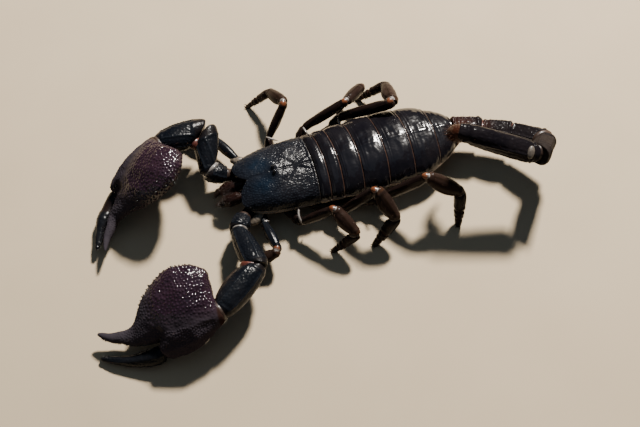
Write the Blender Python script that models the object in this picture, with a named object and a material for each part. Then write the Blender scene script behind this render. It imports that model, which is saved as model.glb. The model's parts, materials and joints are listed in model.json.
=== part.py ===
"""An emperor scorpion at rest on flat ground, life size, as a still museum model.

The scene is in metres, +Z up. The head looks along +X and the animal's left is +Y.
Sizes below are in millimetres, and solid() turns them into metres. The animal is
laid out about the middle of its trunk, and at the end the whole model is moved so
that the middle of its box stands over the origin, with the feet on z = 0."""

import math

import bmesh
import bpy
from mathutils import Vector

MM = 0.001
GAP = 0.3
UP = Vector((0, 0, 1))
TURN = 2 * math.pi

# ---- driving dimensions, in millimetres ----
CARAPACE_REAR = 14.4
CARAPACE_FRONT = 40.6
NOTCH_DEPTH = 3.6
SHELL_THICKNESS = 1.0
TERGITE_LENGTHS = (4.0, 4.6, 7.3, 9.3, 9.4, 9.7, 8.5)
TERGITE_LAP = 0.35
JOINT_ROUNDING = 0.35
BELLY_HEIGHT = 3.6

# Across the animal at x: half width, height of the crown, height of the side edge.
CARAPACE_SECTIONS = (
    (14.0, 13.4, 14.6, 8.2),
    (22.0, 13.1, 14.8, 8.0),
    (30.0, 12.5, 14.8, 7.8),
    (34.0, 11.6, 14.4, 7.8),
    (37.5, 10.3, 13.3, 8.0),
    (41.0, 9.5, 11.2, 8.2),
)
# How boxy the shield's arch is: 1 is half an ellipse, and less is squarer.
SHIELD_BULGE = 0.64
CORNER_FALL = 3.0
BACK_SECTIONS = (
    (16.0, 13.4, 14.4, 8.0),
    (7.0, 14.0, 15.0, 8.2),
    (-5.0, 14.5, 15.7, 8.4),
    (-16.0, 14.4, 15.6, 8.4),
    (-26.0, 13.6, 15.0, 8.2),
    (-33.0, 9.9, 13.9, 8.0),
    (-39.0, 5.4, 12.8, 7.8),
)
# Below the side edge: height where the flank turns in, half width and height of the belly.
FLANK_SECTIONS = (
    (16.0, 7.3, 7.8, 3.6),
    (0.0, 7.2, 8.0, 3.6),
    (-9.0, 6.2, 10.0, 3.5),
    (-20.0, 5.4, 10.4, 3.6),
    (-32.0, 5.8, 7.6, 4.6),
    (-39.0, 7.0, 4.2, 6.4),
)

# ---- pedipalps: the joints down each arm ----
ARM_JOINTS = {
    "left": (
        (41.4, 10.8, 7.3),
        (44.8, 16.0, 10.0),
        (42.8, 33.0, 14.2),
        (58.6, 44.3, 13.5),
        (98.2, 36.8, 5.4),
    ),
    "right": (
        (42.6, -7.6, 7.3),
        (48.6, -8.8, 10.0),
        (45.0, -24.0, 14.2),
        (62.1, -22.1, 14.4),
        (90.3, 9.4, 6.9),
    ),
}
ARM_ROOT = (33.0, 4.6, 5.2)
LOBE_TILT = {"left": 0.45, "right": 0.62}
FINGER_OPENING = {"left": 2.0, "right": 9.5}
COLLAR = 4.0
FINGER_HINGE = (20.0, -8.9)
FINGER_LENGTH = 22.4

# ---- legs: lengths of femur, patella and foot for pairs 1 to 4, and their stoutness ----
LEG_LENGTHS = ((12.6, 9.6, 11.5), (14.0, 11.5, 13.0), (17.6, 12.3, 14.0), (20.6, 13.8, 14.4))
LEG_GIRTH = (0.88, 0.94, 1.0, 1.06)
# Some legs turn the broad side of their patella and foot outwards.
LEG_STOUT = {("left", 2): 1.10, ("left", 3): 1.17, ("left", 4): 1.17}
COXA_ROOTS = ((33.0, 3.4), (28.5, 3.6), (23.5, 3.8), (18.5, 4.0))
COXA_BENDS = ((34.0, 6.4), (27.0, 7.4), (19.6, 8.6), (15.4, 10.0))
COXA_HEIGHT = 4.9
TROCHANTER_REACH = 4.2

# Each leg: hip, then direction and rise in degrees of femur and patella, then the foot's direction.
LEG_POSES = {
    ("left", 1): ((35.2, 14.4, 6.4), (97, 9), (5, -22), 38),
    ("left", 2): ((23.1, 17.8, 6.4), (166, 35), (118, -22), -9),
    ("left", 3): ((8.8, 18.2, 6.0), (171.5, 47), (116, -38), 16),
    ("left", 4): ((-5.6, 17.2, 6.2), (166, 41), (151, -28), 73),
    ("right", 1): ((37.2, -12.6, 6.4), (-64, -2), (-30, -12), 10),
    ("right", 2): ((24.1, -18.0, 6.5), (-140, 40), (-72, -29), -18),
    ("right", 3): ((11.0, -17.8, 7.6), (-175, 24), (-139, -22), 9),
    ("right", 4): ((-2.6, -17.95, 8.2), (162.5, 25), (-96, -28), -21),
}

# ---- chelicerae and eyes, on the left side ----
CHELICERA_PATH = ((37.6, 2.15, 7.7), (46.0, 2.5, 6.3))
CHELICERA_GIRTH = ((0.0, 1.4, 1.4), (0.25, 1.7, 1.7), (0.45, 2.05, 2.2), (0.8, 2.15, 2.2), (1.0, 1.3, 1.4))
MOUTH_CLAW_PATH = ((45.0, 2.9, 6.4), (47.2, 2.8, 5.6), (48.3, 1.7, 4.2))
MOUTH_CLAW_GIRTH = (((0.0, 1.0, 1.1),), ((0.0, 0.8, 0.9), (1.0, 0.25, 0.28)))
EYE_PLACE = (27.2, 1.0)
EYE_RADIUS = 0.62
EYE_RISE = 0.95

# ---- tail: the joints from the trunk to the tip of the sting ----
TAIL_JOINTS = (
    (-38.55, 0.4, 10.6),
    (-48.2, 4.2, 10.8),
    (-57.4, 9.0, 11.8),
    (-66.2, 17.8, 15.6),
    (-58.6, 26.6, 24.4),
    (-36.0, 14.8, 31.0),
)
TAIL_HALF_WIDTHS = (4.6, 4.1, 3.9, 3.8, 3.5)
TAIL_HALF_HEIGHTS = (4.1, 3.8, 3.8, 3.7, 3.5)
# The tail turns over as it curls, so each segment's back faces a direction of its own.
TAIL_BACKS = (UP, UP, UP, Vector((0.5, 0.1, 0.3)), Vector((-0.1, 0.25, 1.0)))
# How each segment swells along its length, as shares of its girth, and the last one.
TAIL_SWELL = ((0, 0.84), (0.12, 0.94), (0.5, 0.98), (0.85, 1.04), (1, 0.9))
LAST_SWELL = ((0, 0.9), (0.1, 1.04), (0.3, 1.06), (0.6, 1.0), (0.86, 0.98), (1, 0.8))
TAIL_SQUARENESS = 0.75
# The poison bulb hangs this way, for this far, and then the sting curves in under it.
BULB_WAY = Vector((0.38, -0.56, -0.74)).normalized()
BULB_LENGTH = 8.6
STING_STEPS = (Vector((-0.6, -0.9, -3.2)), Vector((-3.0, -1.0, -5.6)))

COLOURS = {
    "carapace": ((0.010, 0.014, 0.024), 0.38),
    "tergite": ((0.008, 0.010, 0.018), 0.22),
    "flesh": ((0.030, 0.022, 0.018), 0.50),
    "chelicera": ((0.060, 0.020, 0.014), 0.35),
    "eye": ((0.004, 0.004, 0.004), 0.08),
    "arm": ((0.010, 0.012, 0.020), 0.30),
    "hand": ((0.026, 0.012, 0.020), 0.32),
    "finger": ((0.008, 0.010, 0.014), 0.30),
    "leg": ((0.024, 0.015, 0.011), 0.30),
    "tail": ((0.014, 0.012, 0.014), 0.28),
    "telson": ((0.075, 0.030, 0.016), 0.32),
    "pectine": ((0.160, 0.090, 0.050), 0.50),
}


def between(stations, x):
    """The values of the stations at x, on a smooth curve through them."""
    rows = sorted(stations)
    last = len(rows) - 1
    index = max(0, min(last - 1, sum(row[0] <= x for row in rows) - 1))
    before, start, end, after = (rows[max(0, min(last, index + step))] for step in (-1, 0, 1, 2))
    span = end[0] - start[0]
    share = max(0.0, min(1.0, (x - start[0]) / span))
    values = []
    for a, b, c, d in zip(before[1:], start[1:], end[1:], after[1:]):
        slope_in = (c - a) / (end[0] - before[0]) * span
        slope_out = (d - b) / (after[0] - start[0]) * span
        s2, s3 = share**2, share**3
        values.append(
            (2 * s3 - 3 * s2 + 1) * b + (s3 - 2 * s2 + share) * slope_in
            + (3 * s2 - 2 * s3) * c + (s3 - s2) * slope_out
        )
    return values


def heading(azimuth, rise):
    """The unit direction at these angles in degrees, azimuth from +X towards +Y."""
    a, e = math.radians(azimuth), math.radians(rise)
    return Vector((math.cos(a) * math.cos(e), math.sin(a) * math.cos(e), math.sin(e)))


def material(name):
    """The Principled material of one kind of part, made once."""
    found = bpy.data.materials.get(name)
    if found:
        return found
    colour, roughness = COLOURS[name]
    made = bpy.data.materials.new(name)
    made.use_nodes = True
    shader = made.node_tree.nodes["Principled BSDF"]
    shader.inputs["Base Color"].default_value = (*colour, 1)
    shader.inputs["Roughness"].default_value = roughness
    shader.inputs["Metallic"].default_value = 0.0
    made.diffuse_color = (*colour, 1)
    return made


def solid(name, points, faces, kind, collection):
    """A mesh object from points in millimetres, smooth where its faces meet gently."""
    mesh = bpy.data.meshes.new(name)
    mesh.from_pydata([Vector(point) * MM for point in points], [], faces)
    shape = bmesh.new()
    shape.from_mesh(mesh)
    bmesh.ops.recalc_face_normals(shape, faces=shape.faces)
    shape.to_mesh(mesh)
    shape.free()
    mesh.shade_smooth()
    mesh.set_sharp_from_angle(angle=math.radians(50))
    mesh.materials.append(material(kind))
    made = bpy.data.objects.new(name, mesh)
    collection.objects.link(made)
    return made


def loft(name, rings, kind, collection):
    """A closed solid through rings of equally many points, in order round the axis."""
    count = len(rings[0])
    points = [point for ring in rings for point in ring]
    faces = []
    for r in range(len(rings) - 1):
        for i in range(count):
            j = (i + 1) % count
            faces.append((r * count + i, r * count + j, (r + 1) * count + j, (r + 1) * count + i))
    faces.append(tuple(reversed(range(count))))
    faces.append(tuple(range((len(rings) - 1) * count, len(rings) * count)))
    return solid(name, points, faces, kind, collection)


def flattened(value, power):
    """The value between -1 and 1 raised to a power, with its sign kept."""
    return math.copysign(abs(value) ** power, value)


def mitre(before, after):
    """The normal of the plane in which two lengths of a limb meet."""
    return (before.normalized() + after.normalized()).normalized()


def limb_rings(path, sections, sides=10, up=UP, start_plane=None, end_plane=None, power=1.0):
    """Rings along a limb whose path bends at its inner points.

    sections holds, for each length of the path, its rings as (share of the length,
    half width, half height). The first and last rings lean into the given planes, but
    on the outer side of a sharp bend they stop short, so that the joint is round.
    A power under 1 makes the rings squarer than an ellipse."""
    path = [Vector(point) for point in path]
    ways = [(b - a).normalized() for a, b in zip(path, path[1:])]
    planes = [start_plane or ways[0]]
    planes += [mitre(a, b) for a, b in zip(ways, ways[1:])]
    planes.append(end_plane or ways[-1])
    rings = []
    for i, (way, stations) in enumerate(zip(ways, sections)):
        side = way.cross(up).normalized()
        above = side.cross(way)
        length = (path[i + 1] - path[i]).length
        for share, half_width, half_height in stations:
            centre = path[i] + way * (share * length)
            reach = min(0.48 * length, 8.0)
            lean_start = max(0.0, 1 - share * length / reach)
            lean_end = max(0.0, 1 - (1 - share) * length / reach)
            ring = []
            for step in range(sides):
                angle = TURN * (step + 0.5) / sides
                arm = side * (half_width * flattened(math.cos(angle), power))
                arm += above * (half_height * flattened(math.sin(angle), power))
                spare = JOINT_ROUNDING * arm.length
                slide = lean_start * max(-spare, -arm.dot(planes[i]) / way.dot(planes[i]))
                slide += lean_end * min(spare, -arm.dot(planes[i + 1]) / way.dot(planes[i + 1]))
                ring.append(centre + arm + way * slide)
            rings.append(ring)
    return rings


def trimmed(start, end, start_plane, end_plane):
    """The two ends of a length of limb, each drawn back by half a gap from its plane."""
    start, end = Vector(start), Vector(end)
    way = (end - start).normalized()
    return (
        start + way * (GAP / 2 / way.dot(start_plane)),
        end - way * (GAP / 2 / way.dot(end_plane)),
    )


def arch_point(half_width, crown, edge, across, bulge=1.0):
    """A point on the arched back: across runs from -1, the right edge, to 1, the left."""
    angle = across * math.pi / 2
    return half_width * math.sin(angle), edge + (crown - edge) * max(0.0, math.cos(angle)) ** bulge


def plate(name, columns, thickness, kind, collection):
    """A shell plate from columns of outer points, each with its inward direction."""
    rows, count = len(columns), len(columns[0])
    outer = [Vector(point) for column in columns for point, inward in column]
    inner = [Vector(point) + inward * thickness for column in columns for point, inward in column]
    shift = len(outer)
    faces = []
    for r in range(rows - 1):
        for c in range(count - 1):
            a, b = r * count + c, r * count + c + 1
            e, d = a + count, b + count
            faces.append((a, b, d, e))
            faces.append((shift + a, shift + e, shift + d, shift + b))
    rim = [c for c in range(count)]
    rim += [r * count + count - 1 for r in range(1, rows)]
    rim += [(rows - 1) * count + c for c in range(count - 2, -1, -1)]
    rim += [r * count for r in range(rows - 2, 0, -1)]
    for a, b in zip(rim, rim[1:] + rim[:1]):
        faces.append((b, a, shift + a, shift + b))
    return solid(name, outer + inner, faces, kind, collection)


def arch_column(x, half_width, crown, edge, steps, bulge=1.0):
    """Outer points of the arch at x from right to left, each with its inward direction."""
    column = []
    for step in range(steps + 1):
        across = 2 * step / steps - 1
        y, z = arch_point(half_width, crown, edge, across, bulge)
        inward = Vector((0, -math.sin(across * math.pi / 2), -math.cos(across * math.pi / 2)))
        if step in (0, steps):
            inward = Vector((0, -across, 0))
        column.append(((x, y, z), inward))
    return column


def make_carapace(collection):
    """The shield of the forebody: arched, with two front lobes and a notch between them."""
    steps, rows = 14, 6
    columns = []
    for row in range(rows + 1):
        along = row / rows
        column = []
        for step in range(steps + 1):
            across = 2 * step / steps - 1
            lobe = math.sin(math.pi * min(1.0, abs(across) / 0.84)) ** 0.8
            corner = max(0.0, abs(across) - 0.55) / 0.45
            front = CARAPACE_FRONT - NOTCH_DEPTH * (1 - lobe) * (abs(across) < 0.42) - CORNER_FALL * corner**2
            x = CARAPACE_REAR + (front - CARAPACE_REAR) * along
            half_width, crown, edge = between(CARAPACE_SECTIONS, x)
            y, z = arch_point(half_width, crown, edge, across, SHIELD_BULGE)
            inward = Vector((0, -math.sin(across * math.pi / 2), -math.cos(across * math.pi / 2)))
            if step in (0, steps):
                inward = Vector((0, -across, 0))
            column.append(((x, y, z), inward))
        columns.append(column)
    plate("carapace", columns, SHELL_THICKNESS, "carapace", collection)


def make_tergites(collection):
    """The seven plates of the back, each lapping a little over the front of the next."""
    x = CARAPACE_REAR - GAP
    for number, length in enumerate(TERGITE_LENGTHS, start=1):
        columns = []
        for share in (1.0, 0.45, 0.0):
            place = x - length + GAP + share * (length - GAP)
            half_width, crown, edge = between(BACK_SECTIONS, place)
            crown -= TERGITE_LAP * share
            columns.append(arch_column(place, half_width, crown, edge, 10)[::-1])
        plate(f"tergite_{number}", columns, SHELL_THICKNESS, "tergite", collection)
        x -= length


def make_trunk(collection):
    """The soft hind body under the plates: pleura at its sides and a flat belly."""
    rings = []
    for x in (CARAPACE_REAR - GAP, 8.0, 1.0, -7.0, -15.0, -23.0, -30.0, -35.0, -38.4):
        half_width, crown, edge = between(BACK_SECTIONS, x)
        flank, belly, floor = between(FLANK_SECTIONS, x)
        crown -= SHELL_THICKNESS + TERGITE_LAP + 2 * GAP
        inside = half_width - SHELL_THICKNESS - 2 * GAP
        ring = []
        for across in (-0.94, -0.7, -0.4, 0.0, 0.4, 0.7, 0.94):
            y, z = arch_point(inside, crown, edge - GAP, across)
            ring.append((x, y, z))
        left = [
            (half_width - 0.2, edge - 0.8),
            (0.5 * (half_width + belly), flank),
            (belly, 0.5 * (flank + floor)),
            (0.82 * belly, floor),
        ]
        ring += [(x, y, z) for y, z in left]
        ring += [(x, -y, z) for y, z in reversed(left)]
        rings.append(ring)
    loft("trunk", rings, "flesh", collection)


def join(name, pieces, cutters):
    """The first piece with the others joined to it. The others become hidden cutters."""
    whole = pieces[0]
    whole.name = name
    for piece in pieces[1:]:
        union = whole.modifiers.new(piece.name, "BOOLEAN")
        union.operation = "UNION"
        union.object = piece
        piece.hide_render = True
        piece.display_type = "WIRE"
        for holder in list(piece.users_collection):
            holder.objects.unlink(piece)
        cutters.objects.link(piece)
    return whole


def make_prosoma(collection, cutters):
    """The underside of the forebody, with the coxae of the legs and arms joined to it."""
    rings = []
    for x in (CARAPACE_REAR + 0.2, 20.0, 26.0, 32.0, 36.6):
        half_width, crown, edge = between(CARAPACE_SECTIONS, x)
        crown -= SHELL_THICKNESS + 2 * GAP
        inside = half_width - SHELL_THICKNESS - 2 * GAP
        ring = []
        for across in (-0.92, -0.5, 0.0, 0.5, 0.92):
            y, z = arch_point(inside, crown, edge - GAP, across, SHIELD_BULGE)
            ring.append((x, y, z))
        ring += [(x, 0.62 * inside, 4.0), (x, 0, BELLY_HEIGHT), (x, -0.62 * inside, 4.0)]
        rings.append(ring)
    pieces = [loft("prosoma_underside", rings, "flesh", collection)]
    for (side, number), pose in LEG_POSES.items():
        sign = 1 if side == "left" else -1
        root_x, root_y = COXA_ROOTS[number - 1]
        root = Vector((root_x, sign * root_y, COXA_HEIGHT))
        bend_x, bend_y = COXA_BENDS[number - 1]
        bend = Vector((bend_x, sign * bend_y, COXA_HEIGHT))
        end, way = coxa_end(side, number)
        sections = [[(0.0, 1.6, 1.3)], [(0.0, 1.9, 1.6), (0.6, 1.9, 1.7), (1.0, 1.6, 1.6)]]
        rings = limb_rings((root, bend, end), sections, sides=8, end_plane=way)
        pieces.append(loft(f"coxa_{side}_{number}", rings, "leg", collection))
    for side, joints in ARM_JOINTS.items():
        sign = 1 if side == "left" else -1
        start, end = Vector((ARM_ROOT[0], sign * ARM_ROOT[1], ARM_ROOT[2])), Vector(joints[0])
        plane = mitre(end - start, Vector(joints[1]) - end)
        end -= (end - start).normalized() * (GAP / 2)
        sections = [[(0, 1.9, 1.5), (0.5, 2.4, 1.6), (1.0, 2.3, 2.0)]]
        rings = limb_rings((start, end), sections, sides=8, end_plane=plane)
        pieces.append(loft(f"arm_coxa_{side}", rings, "arm", collection))
    join("prosoma_underside", pieces, cutters)


def coxa_end(side, number):
    """Where a leg leaves the body, and the direction of its trochanter there."""
    sign = 1 if side == "left" else -1
    hip = Vector(LEG_POSES[side, number][0])
    bend_x, bend_y = COXA_BENDS[number - 1]
    level = Vector((hip.x - bend_x, hip.y - sign * bend_y, 0)).normalized()
    socket = hip - level * TROCHANTER_REACH
    socket.z = COXA_HEIGHT
    return socket, (hip - socket).normalized()


def make_leg(side, number, collection):
    """One leg in three solids: trochanter with femur, patella, and the foot with its tarsus."""
    hip, femur_angles, patella_angles, foot_azimuth = LEG_POSES[side, number]
    femur_length, patella_length, foot_length = LEG_LENGTHS[number - 1]
    girth = LEG_GIRTH[number - 1]
    hip = Vector(hip)
    knee = hip + heading(*femur_angles) * femur_length
    ankle = knee + heading(*patella_angles) * patella_length
    level = math.sqrt(foot_length**2 - ankle.z**2)
    toe = ankle + heading(foot_azimuth, 0) * level
    toe.z = 0.0
    back = (knee - hip.lerp(ankle, 0.5)).normalized()
    socket, way = coxa_end(side, number)
    at_knee = mitre(knee - hip, ankle - knee)
    at_ankle = mitre(ankle - knee, toe - ankle)
    name = f"leg_{side}_{number}"

    start = socket + way * GAP
    _, end = trimmed(hip, knee, way, at_knee)
    trochanter = [(0.0, 1.6, 1.8), (0.4, 2.0, 2.3), (0.85, 1.6, 1.9)]
    femur = [(0.08, 1.45, 1.75), (0.25, 1.6, 2.2), (0.6, 1.8, 2.35), (0.88, 1.75, 2.2), (1.0, 1.4, 1.6)]
    sections = [scaled(trochanter, girth), scaled(femur, girth)]
    rings = limb_rings((start, hip, end), sections, 10, UP, way, at_knee)
    loft(f"{name}_femur", rings, "leg", collection)

    start, end = trimmed(knee, ankle, at_knee, at_ankle)
    patella = [(0.0, 1.4, 1.6), (0.14, 2.1, 2.4), (0.5, 2.45, 2.7), (0.85, 2.0, 2.2), (1.0, 1.35, 1.6)]
    girth *= LEG_STOUT.get((side, number), 1.0)
    rings = limb_rings((start, end), [scaled(patella, girth)], 10, back, at_knee, at_ankle)
    loft(f"{name}_patella", rings, "leg", collection)

    start, _ = trimmed(ankle, toe, at_ankle, UP * -1)
    foot = [(0.0, 1.25, 1.45), (0.12, 1.6, 1.85), (0.38, 1.4, 1.6), (0.46, 1.3, 1.5)]
    foot += [(0.68, 1.15, 1.3), (0.76, 1.1, 1.2), (0.92, 0.9, 1.0), (1.0, 0.7, 0.8)]
    rings = limb_rings((start, toe), [scaled(foot, girth)], 8, back, at_ankle, UP * -1)
    loft(f"{name}_foot", rings, "leg", collection)


def scaled(stations, girth):
    """Stations along a limb, made stouter or slimmer."""
    return [(share, half_width * girth, half_height * girth) for share, half_width, half_height in stations]


def hand_axes(side):
    """The hand's own axes: along its fixed finger, towards its inner lobe, and through it."""
    wrist, tip = Vector(ARM_JOINTS[side][3]), Vector(ARM_JOINTS[side][4])
    along = (tip - wrist).normalized()
    level = along.cross(UP).normalized()
    if side == "left":
        level = -level
    level = -level
    lift = (UP - along * along.dot(UP)).normalized()
    rise = LOBE_TILT[side] / lift.z
    lobe = (level * math.sqrt(1 - rise**2) + lift * rise).normalized()
    return wrist, along, lobe, along.cross(lobe)


# Along the hand: place, outer side, inner side, half thickness, and how much slimmer one hand is.
HAND_SECTIONS = (
    (0.0, -3.6, 3.6, 3.2, 0.0),
    (1.6, -5.0, 8.8, 4.4, 0.0),
    (4.0, -7.6, 14.0, 5.6, 0.0),
    (8.0, -10.2, 16.8, 6.5, 0.0),
    (12.5, -11.8, 17.2, 6.6, 0.0),
    (16.4, -12.6, 16.0, 6.1, 0.9),
    (19.4, -5.6, 13.9, 5.5, 1.8),
    (22.5, -5.2, 11.0, 4.8, 2.8),
    (25.2, -5.2, 7.8, 4.0, 4.0),
    (27.6, -5.0, 3.4, 3.3, 3.2),
    (29.4, -4.9, 0.6, 2.7, 2.3),
    (31.6, -4.7, -0.6, 2.4, 1.7),
    (37.0, -3.8, -0.6, 1.8, 1.1),
    (40.6, -1.6, 0.3, 1.0, 0.5),
    (41.8, -0.5, 0.4, 0.4, 0.1),
)
SLIMMER = {"left": 0.0, "right": 1.0}
THINNER = 0.35
# How far the lobe's rear corner reaches back past the wrist, for each millimetre of width.
LOBE_REACH = 0.36
# Along the movable finger: share, half width, half depth.
FINGER_SECTIONS = (
    (0.0, 3.0, 2.5),
    (0.08, 3.2, 2.7),
    (0.3, 2.6, 2.4),
    (0.55, 2.0, 1.9),
    (0.8, 1.35, 1.5),
    (0.95, 0.7, 0.8),
    (1.0, 0.3, 0.35),
)
FINGER_BOW = -2.6
# The finger's root swells outwards, by this much at the hinge.
ROOT_SWELL = -1.1


def make_hand(side, plane, collection):
    """The broad hand with its fixed finger: thick along the finger side, thin at the lobe."""
    wrist, along, lobe, through = hand_axes(side)
    sides = 14
    rings = []
    for place, outer, inner, thick, slimmer in HAND_SECTIONS:
        ring = []
        inner -= slimmer * SLIMMER[side]
        thick -= slimmer * SLIMMER[side] * THINNER
        lean = max(0.0, 1 - place / 4.0)
        for step in range(sides):
            angle = TURN * (step + 0.5) / sides
            across = math.cos(angle)
            wide = 0.5 * (outer + inner) + 0.5 * (inner - outer) * flattened(across, 0.9)
            deep = thick * math.sin(angle) * (1 - 0.22 * across)
            arm = lobe * wide + through * deep
            collar = arm * min(1.0, COLLAR / max(arm.length, COLLAR))
            slide = GAP / 2 * lean - lean * collar.dot(plane) / along.dot(plane)
            slide -= LOBE_REACH * max(0.0, wide - 5.0) * max(0.0, 1 - place / 10.0)
            ring.append(wrist + along * (place + slide) + arm)
        rings.append(ring)
    loft(f"pedipalp_{side}_hand", rings, "hand", collection)


def make_finger(side, collection):
    """The movable finger: it starts at the hand's outer corner and curves in to the tip."""
    wrist, along, lobe, through = hand_axes(side)
    opening = math.radians(FINGER_OPENING[side])
    hinge_along, hinge_lobe = FINGER_HINGE
    rings = []
    for share, half_width, half_depth in FINGER_SECTIONS:
        run = share * FINGER_LENGTH
        bow = FINGER_BOW * math.sin(math.pi * share) * (1 - 0.3 * share) + ROOT_SWELL * (1 - share) ** 1.5
        place = hinge_along + run * math.cos(opening) - bow * math.sin(opening)
        rise = hinge_lobe + run * math.sin(opening) + bow * math.cos(opening)
        ring = []
        for step in range(10):
            angle = TURN * (step + 0.5) / 10
            wide = half_width * math.cos(angle)
            lean = -0.45 * wide * max(0.0, 1 - 4 * share)
            point = along * (place + lean) + lobe * (rise + wide)
            ring.append(wrist + point + through * (half_depth * math.sin(angle)))
        rings.append(ring)
    loft(f"pedipalp_{side}_finger", rings, "finger", collection)


def make_arm(side, collection):
    """One pedipalp: trochanter, femur, patella, hand and movable finger."""
    joints = [Vector(joint) for joint in ARM_JOINTS[side]]
    sign = 1 if side == "left" else -1
    ways = [joints[0] - Vector((ARM_ROOT[0], sign * ARM_ROOT[1], ARM_ROOT[2]))]
    ways += [b - a for a, b in zip(joints, joints[1:])]
    planes = [mitre(a, b) for a, b in zip(ways, ways[1:])]
    shapes = {
        "trochanter": [(0.0, 2.8, 2.8), (0.35, 3.6, 3.6), (0.8, 3.6, 3.5), (1.0, 2.8, 2.7)],
        "femur": [(0.0, 2.4, 2.3), (0.12, 3.4, 3.0), (0.5, 4.3, 3.5), (0.85, 4.7, 3.7), (1.0, 3.5, 2.9)],
        "patella": [(0.0, 3.2, 2.8), (0.16, 4.9, 4.0), (0.5, 5.5, 4.5), (0.82, 5.0, 4.2), (1.0, 3.4, 3.2)],
    }
    for index, (name, stations) in enumerate(shapes.items()):
        start, end = trimmed(joints[index], joints[index + 1], planes[index], planes[index + 1])
        rings = limb_rings(
            (start, end), [stations], 12, start_plane=planes[index], end_plane=planes[index + 1]
        )
        loft(f"pedipalp_{side}_{name}", rings, "arm", collection)
    make_hand(side, planes[3], collection)
    make_finger(side, collection)


def make_tail(collection):
    """Five tail segments, keeled and waisted at their joints, then the telson with its sting."""
    joints = [Vector(joint) for joint in TAIL_JOINTS]
    ways = [b - a for a, b in zip(joints, joints[1:])]
    planes = [Vector((-1, 0, 0))]
    planes += [mitre(a, b) for a, b in zip(ways, ways[1:])]
    planes.append(mitre(ways[-1], BULB_WAY))
    last = len(ways) - 1
    for index in range(len(ways)):
        start, end = trimmed(joints[index], joints[index + 1], planes[index], planes[index + 1])
        wide, high = TAIL_HALF_WIDTHS[index], TAIL_HALF_HEIGHTS[index]
        swell = LAST_SWELL if index == last else TAIL_SWELL
        stations = [(share, wide * size, high * size) for share, size in swell]
        rings = limb_rings(
            (start, end),
            [stations],
            12,
            TAIL_BACKS[index],
            planes[index],
            planes[index + 1],
            TAIL_SQUARENESS,
        )
        loft(f"tail_segment_{index + 1}", rings, "tail", collection)
    make_telson(joints[-1], planes[-1], collection)


def make_telson(joint, plane, collection):
    """The poison bulb, hanging from the last segment, and the sting curved in under it."""
    bulb_end = joint + BULB_WAY * BULB_LENGTH
    path = [joint + BULB_WAY * (GAP / 2 / BULB_WAY.dot(plane)), joint + BULB_WAY * 4.0, bulb_end]
    path += [bulb_end + step for step in STING_STEPS]
    sections = [
        [(0.0, 1.7, 1.7), (0.5, 2.9, 2.8)],
        [(0.0, 3.5, 3.3), (0.55, 3.2, 3.0)],
        [(0.0, 2.0, 1.9), (0.5, 1.3, 1.2)],
        [(0.0, 0.85, 0.8), (1.0, 0.3, 0.3)],
    ]
    rings = limb_rings(path, sections, 10, Vector((1.0, 0.2, 0.3)), start_plane=plane)
    loft("telson", rings, "telson", collection)


def make_head_parts(collection, cutters):
    """The two chelicerae under the front lobes, and the pair of median eyes."""
    for side, sign in (("left", 1), ("right", -1)):
        path = [(x, sign * y, z) for x, y, z in CHELICERA_PATH]
        body = loft(f"chelicera_{side}", limb_rings(path, [CHELICERA_GIRTH], 10), "chelicera", collection)
        claw_path = [(x, sign * y, z) for x, y, z in MOUTH_CLAW_PATH]
        rings = limb_rings(claw_path, MOUTH_CLAW_GIRTH, 8)
        claw = loft(f"cheliceral_claw_{side}", rings, "chelicera", collection)
        join(f"chelicera_{side}", [body, claw], cutters)
    for side, sign in (("left", 1), ("right", -1)):
        _, crown, _ = between(CARAPACE_SECTIONS, EYE_PLACE[0])
        height = crown + EYE_RISE
        bpy.ops.mesh.primitive_uv_sphere_add(
            segments=10,
            ring_count=6,
            radius=EYE_RADIUS * MM,
            location=(EYE_PLACE[0] * MM, sign * EYE_PLACE[1] * MM, height * MM),
        )
        eye = bpy.context.object
        eye.name = f"eye_{side}"
        eye.data.name = eye.name
        eye.data.materials.append(material("eye"))
        eye.data.shade_smooth()
        for holder in list(eye.users_collection):
            holder.objects.unlink(eye)
        collection.objects.link(eye)


def make_pectines(collection):
    """The two comb organs flat under the belly, behind the last coxae."""
    for side, sign in (("left", 1), ("right", -1)):
        path = [(9.0, sign * 1.6, 2.85), (-1.0, sign * 6.8, 2.85)]
        sections = [[(0.0, 1.3, 0.35), (0.25, 2.0, 0.35), (0.8, 1.7, 0.35), (1.0, 0.8, 0.3)]]
        loft(f"pectine_{side}", limb_rings(path, sections, 8), "pectine", collection)


def stand_over_origin(collection):
    """Moves the model so that the middle of its box is over the origin."""
    corners = []
    for piece in collection.objects:
        corners += [piece.matrix_world @ vertex.co for vertex in piece.data.vertices]
    middle = [(min(c[i] for c in corners) + max(c[i] for c in corners)) / 2 for i in (0, 1)]
    shift = Vector((-middle[0], -middle[1], 0))
    print("The trunk's middle is at", [round(value / MM, 2) for value in shift])
    for piece in bpy.data.objects:
        piece.location += shift


def main():
    for old in list(bpy.data.objects):
        bpy.data.objects.remove(old, do_unlink=True)
    collection = bpy.data.collections.new("scorpion")
    cutters = bpy.data.collections.new("scorpion_joined_shapes")
    for made in (collection, cutters):
        bpy.context.scene.collection.children.link(made)
    make_carapace(collection)
    make_tergites(collection)
    make_trunk(collection)
    make_prosoma(collection, cutters)
    make_head_parts(collection, cutters)
    make_pectines(collection)
    make_tail(collection)
    for side in ("left", "right"):
        make_arm(side, collection)
        for number in range(1, 5):
            make_leg(side, number, collection)
    stand_over_origin(collection)


main()
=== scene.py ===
# %% [markdown]
# # An emperor scorpion, dressed over its solids
# The solids give every plate and joint its place and size. This lesson turns each of them
# into a finer shell, adds the granules, teeth, joint skins, hooks and bristles of the real
# animal, and gives each surface a finish made from shader nodes. Shapes are worked out in
# millimetres, and MM turns them into Blender's metres.

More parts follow.
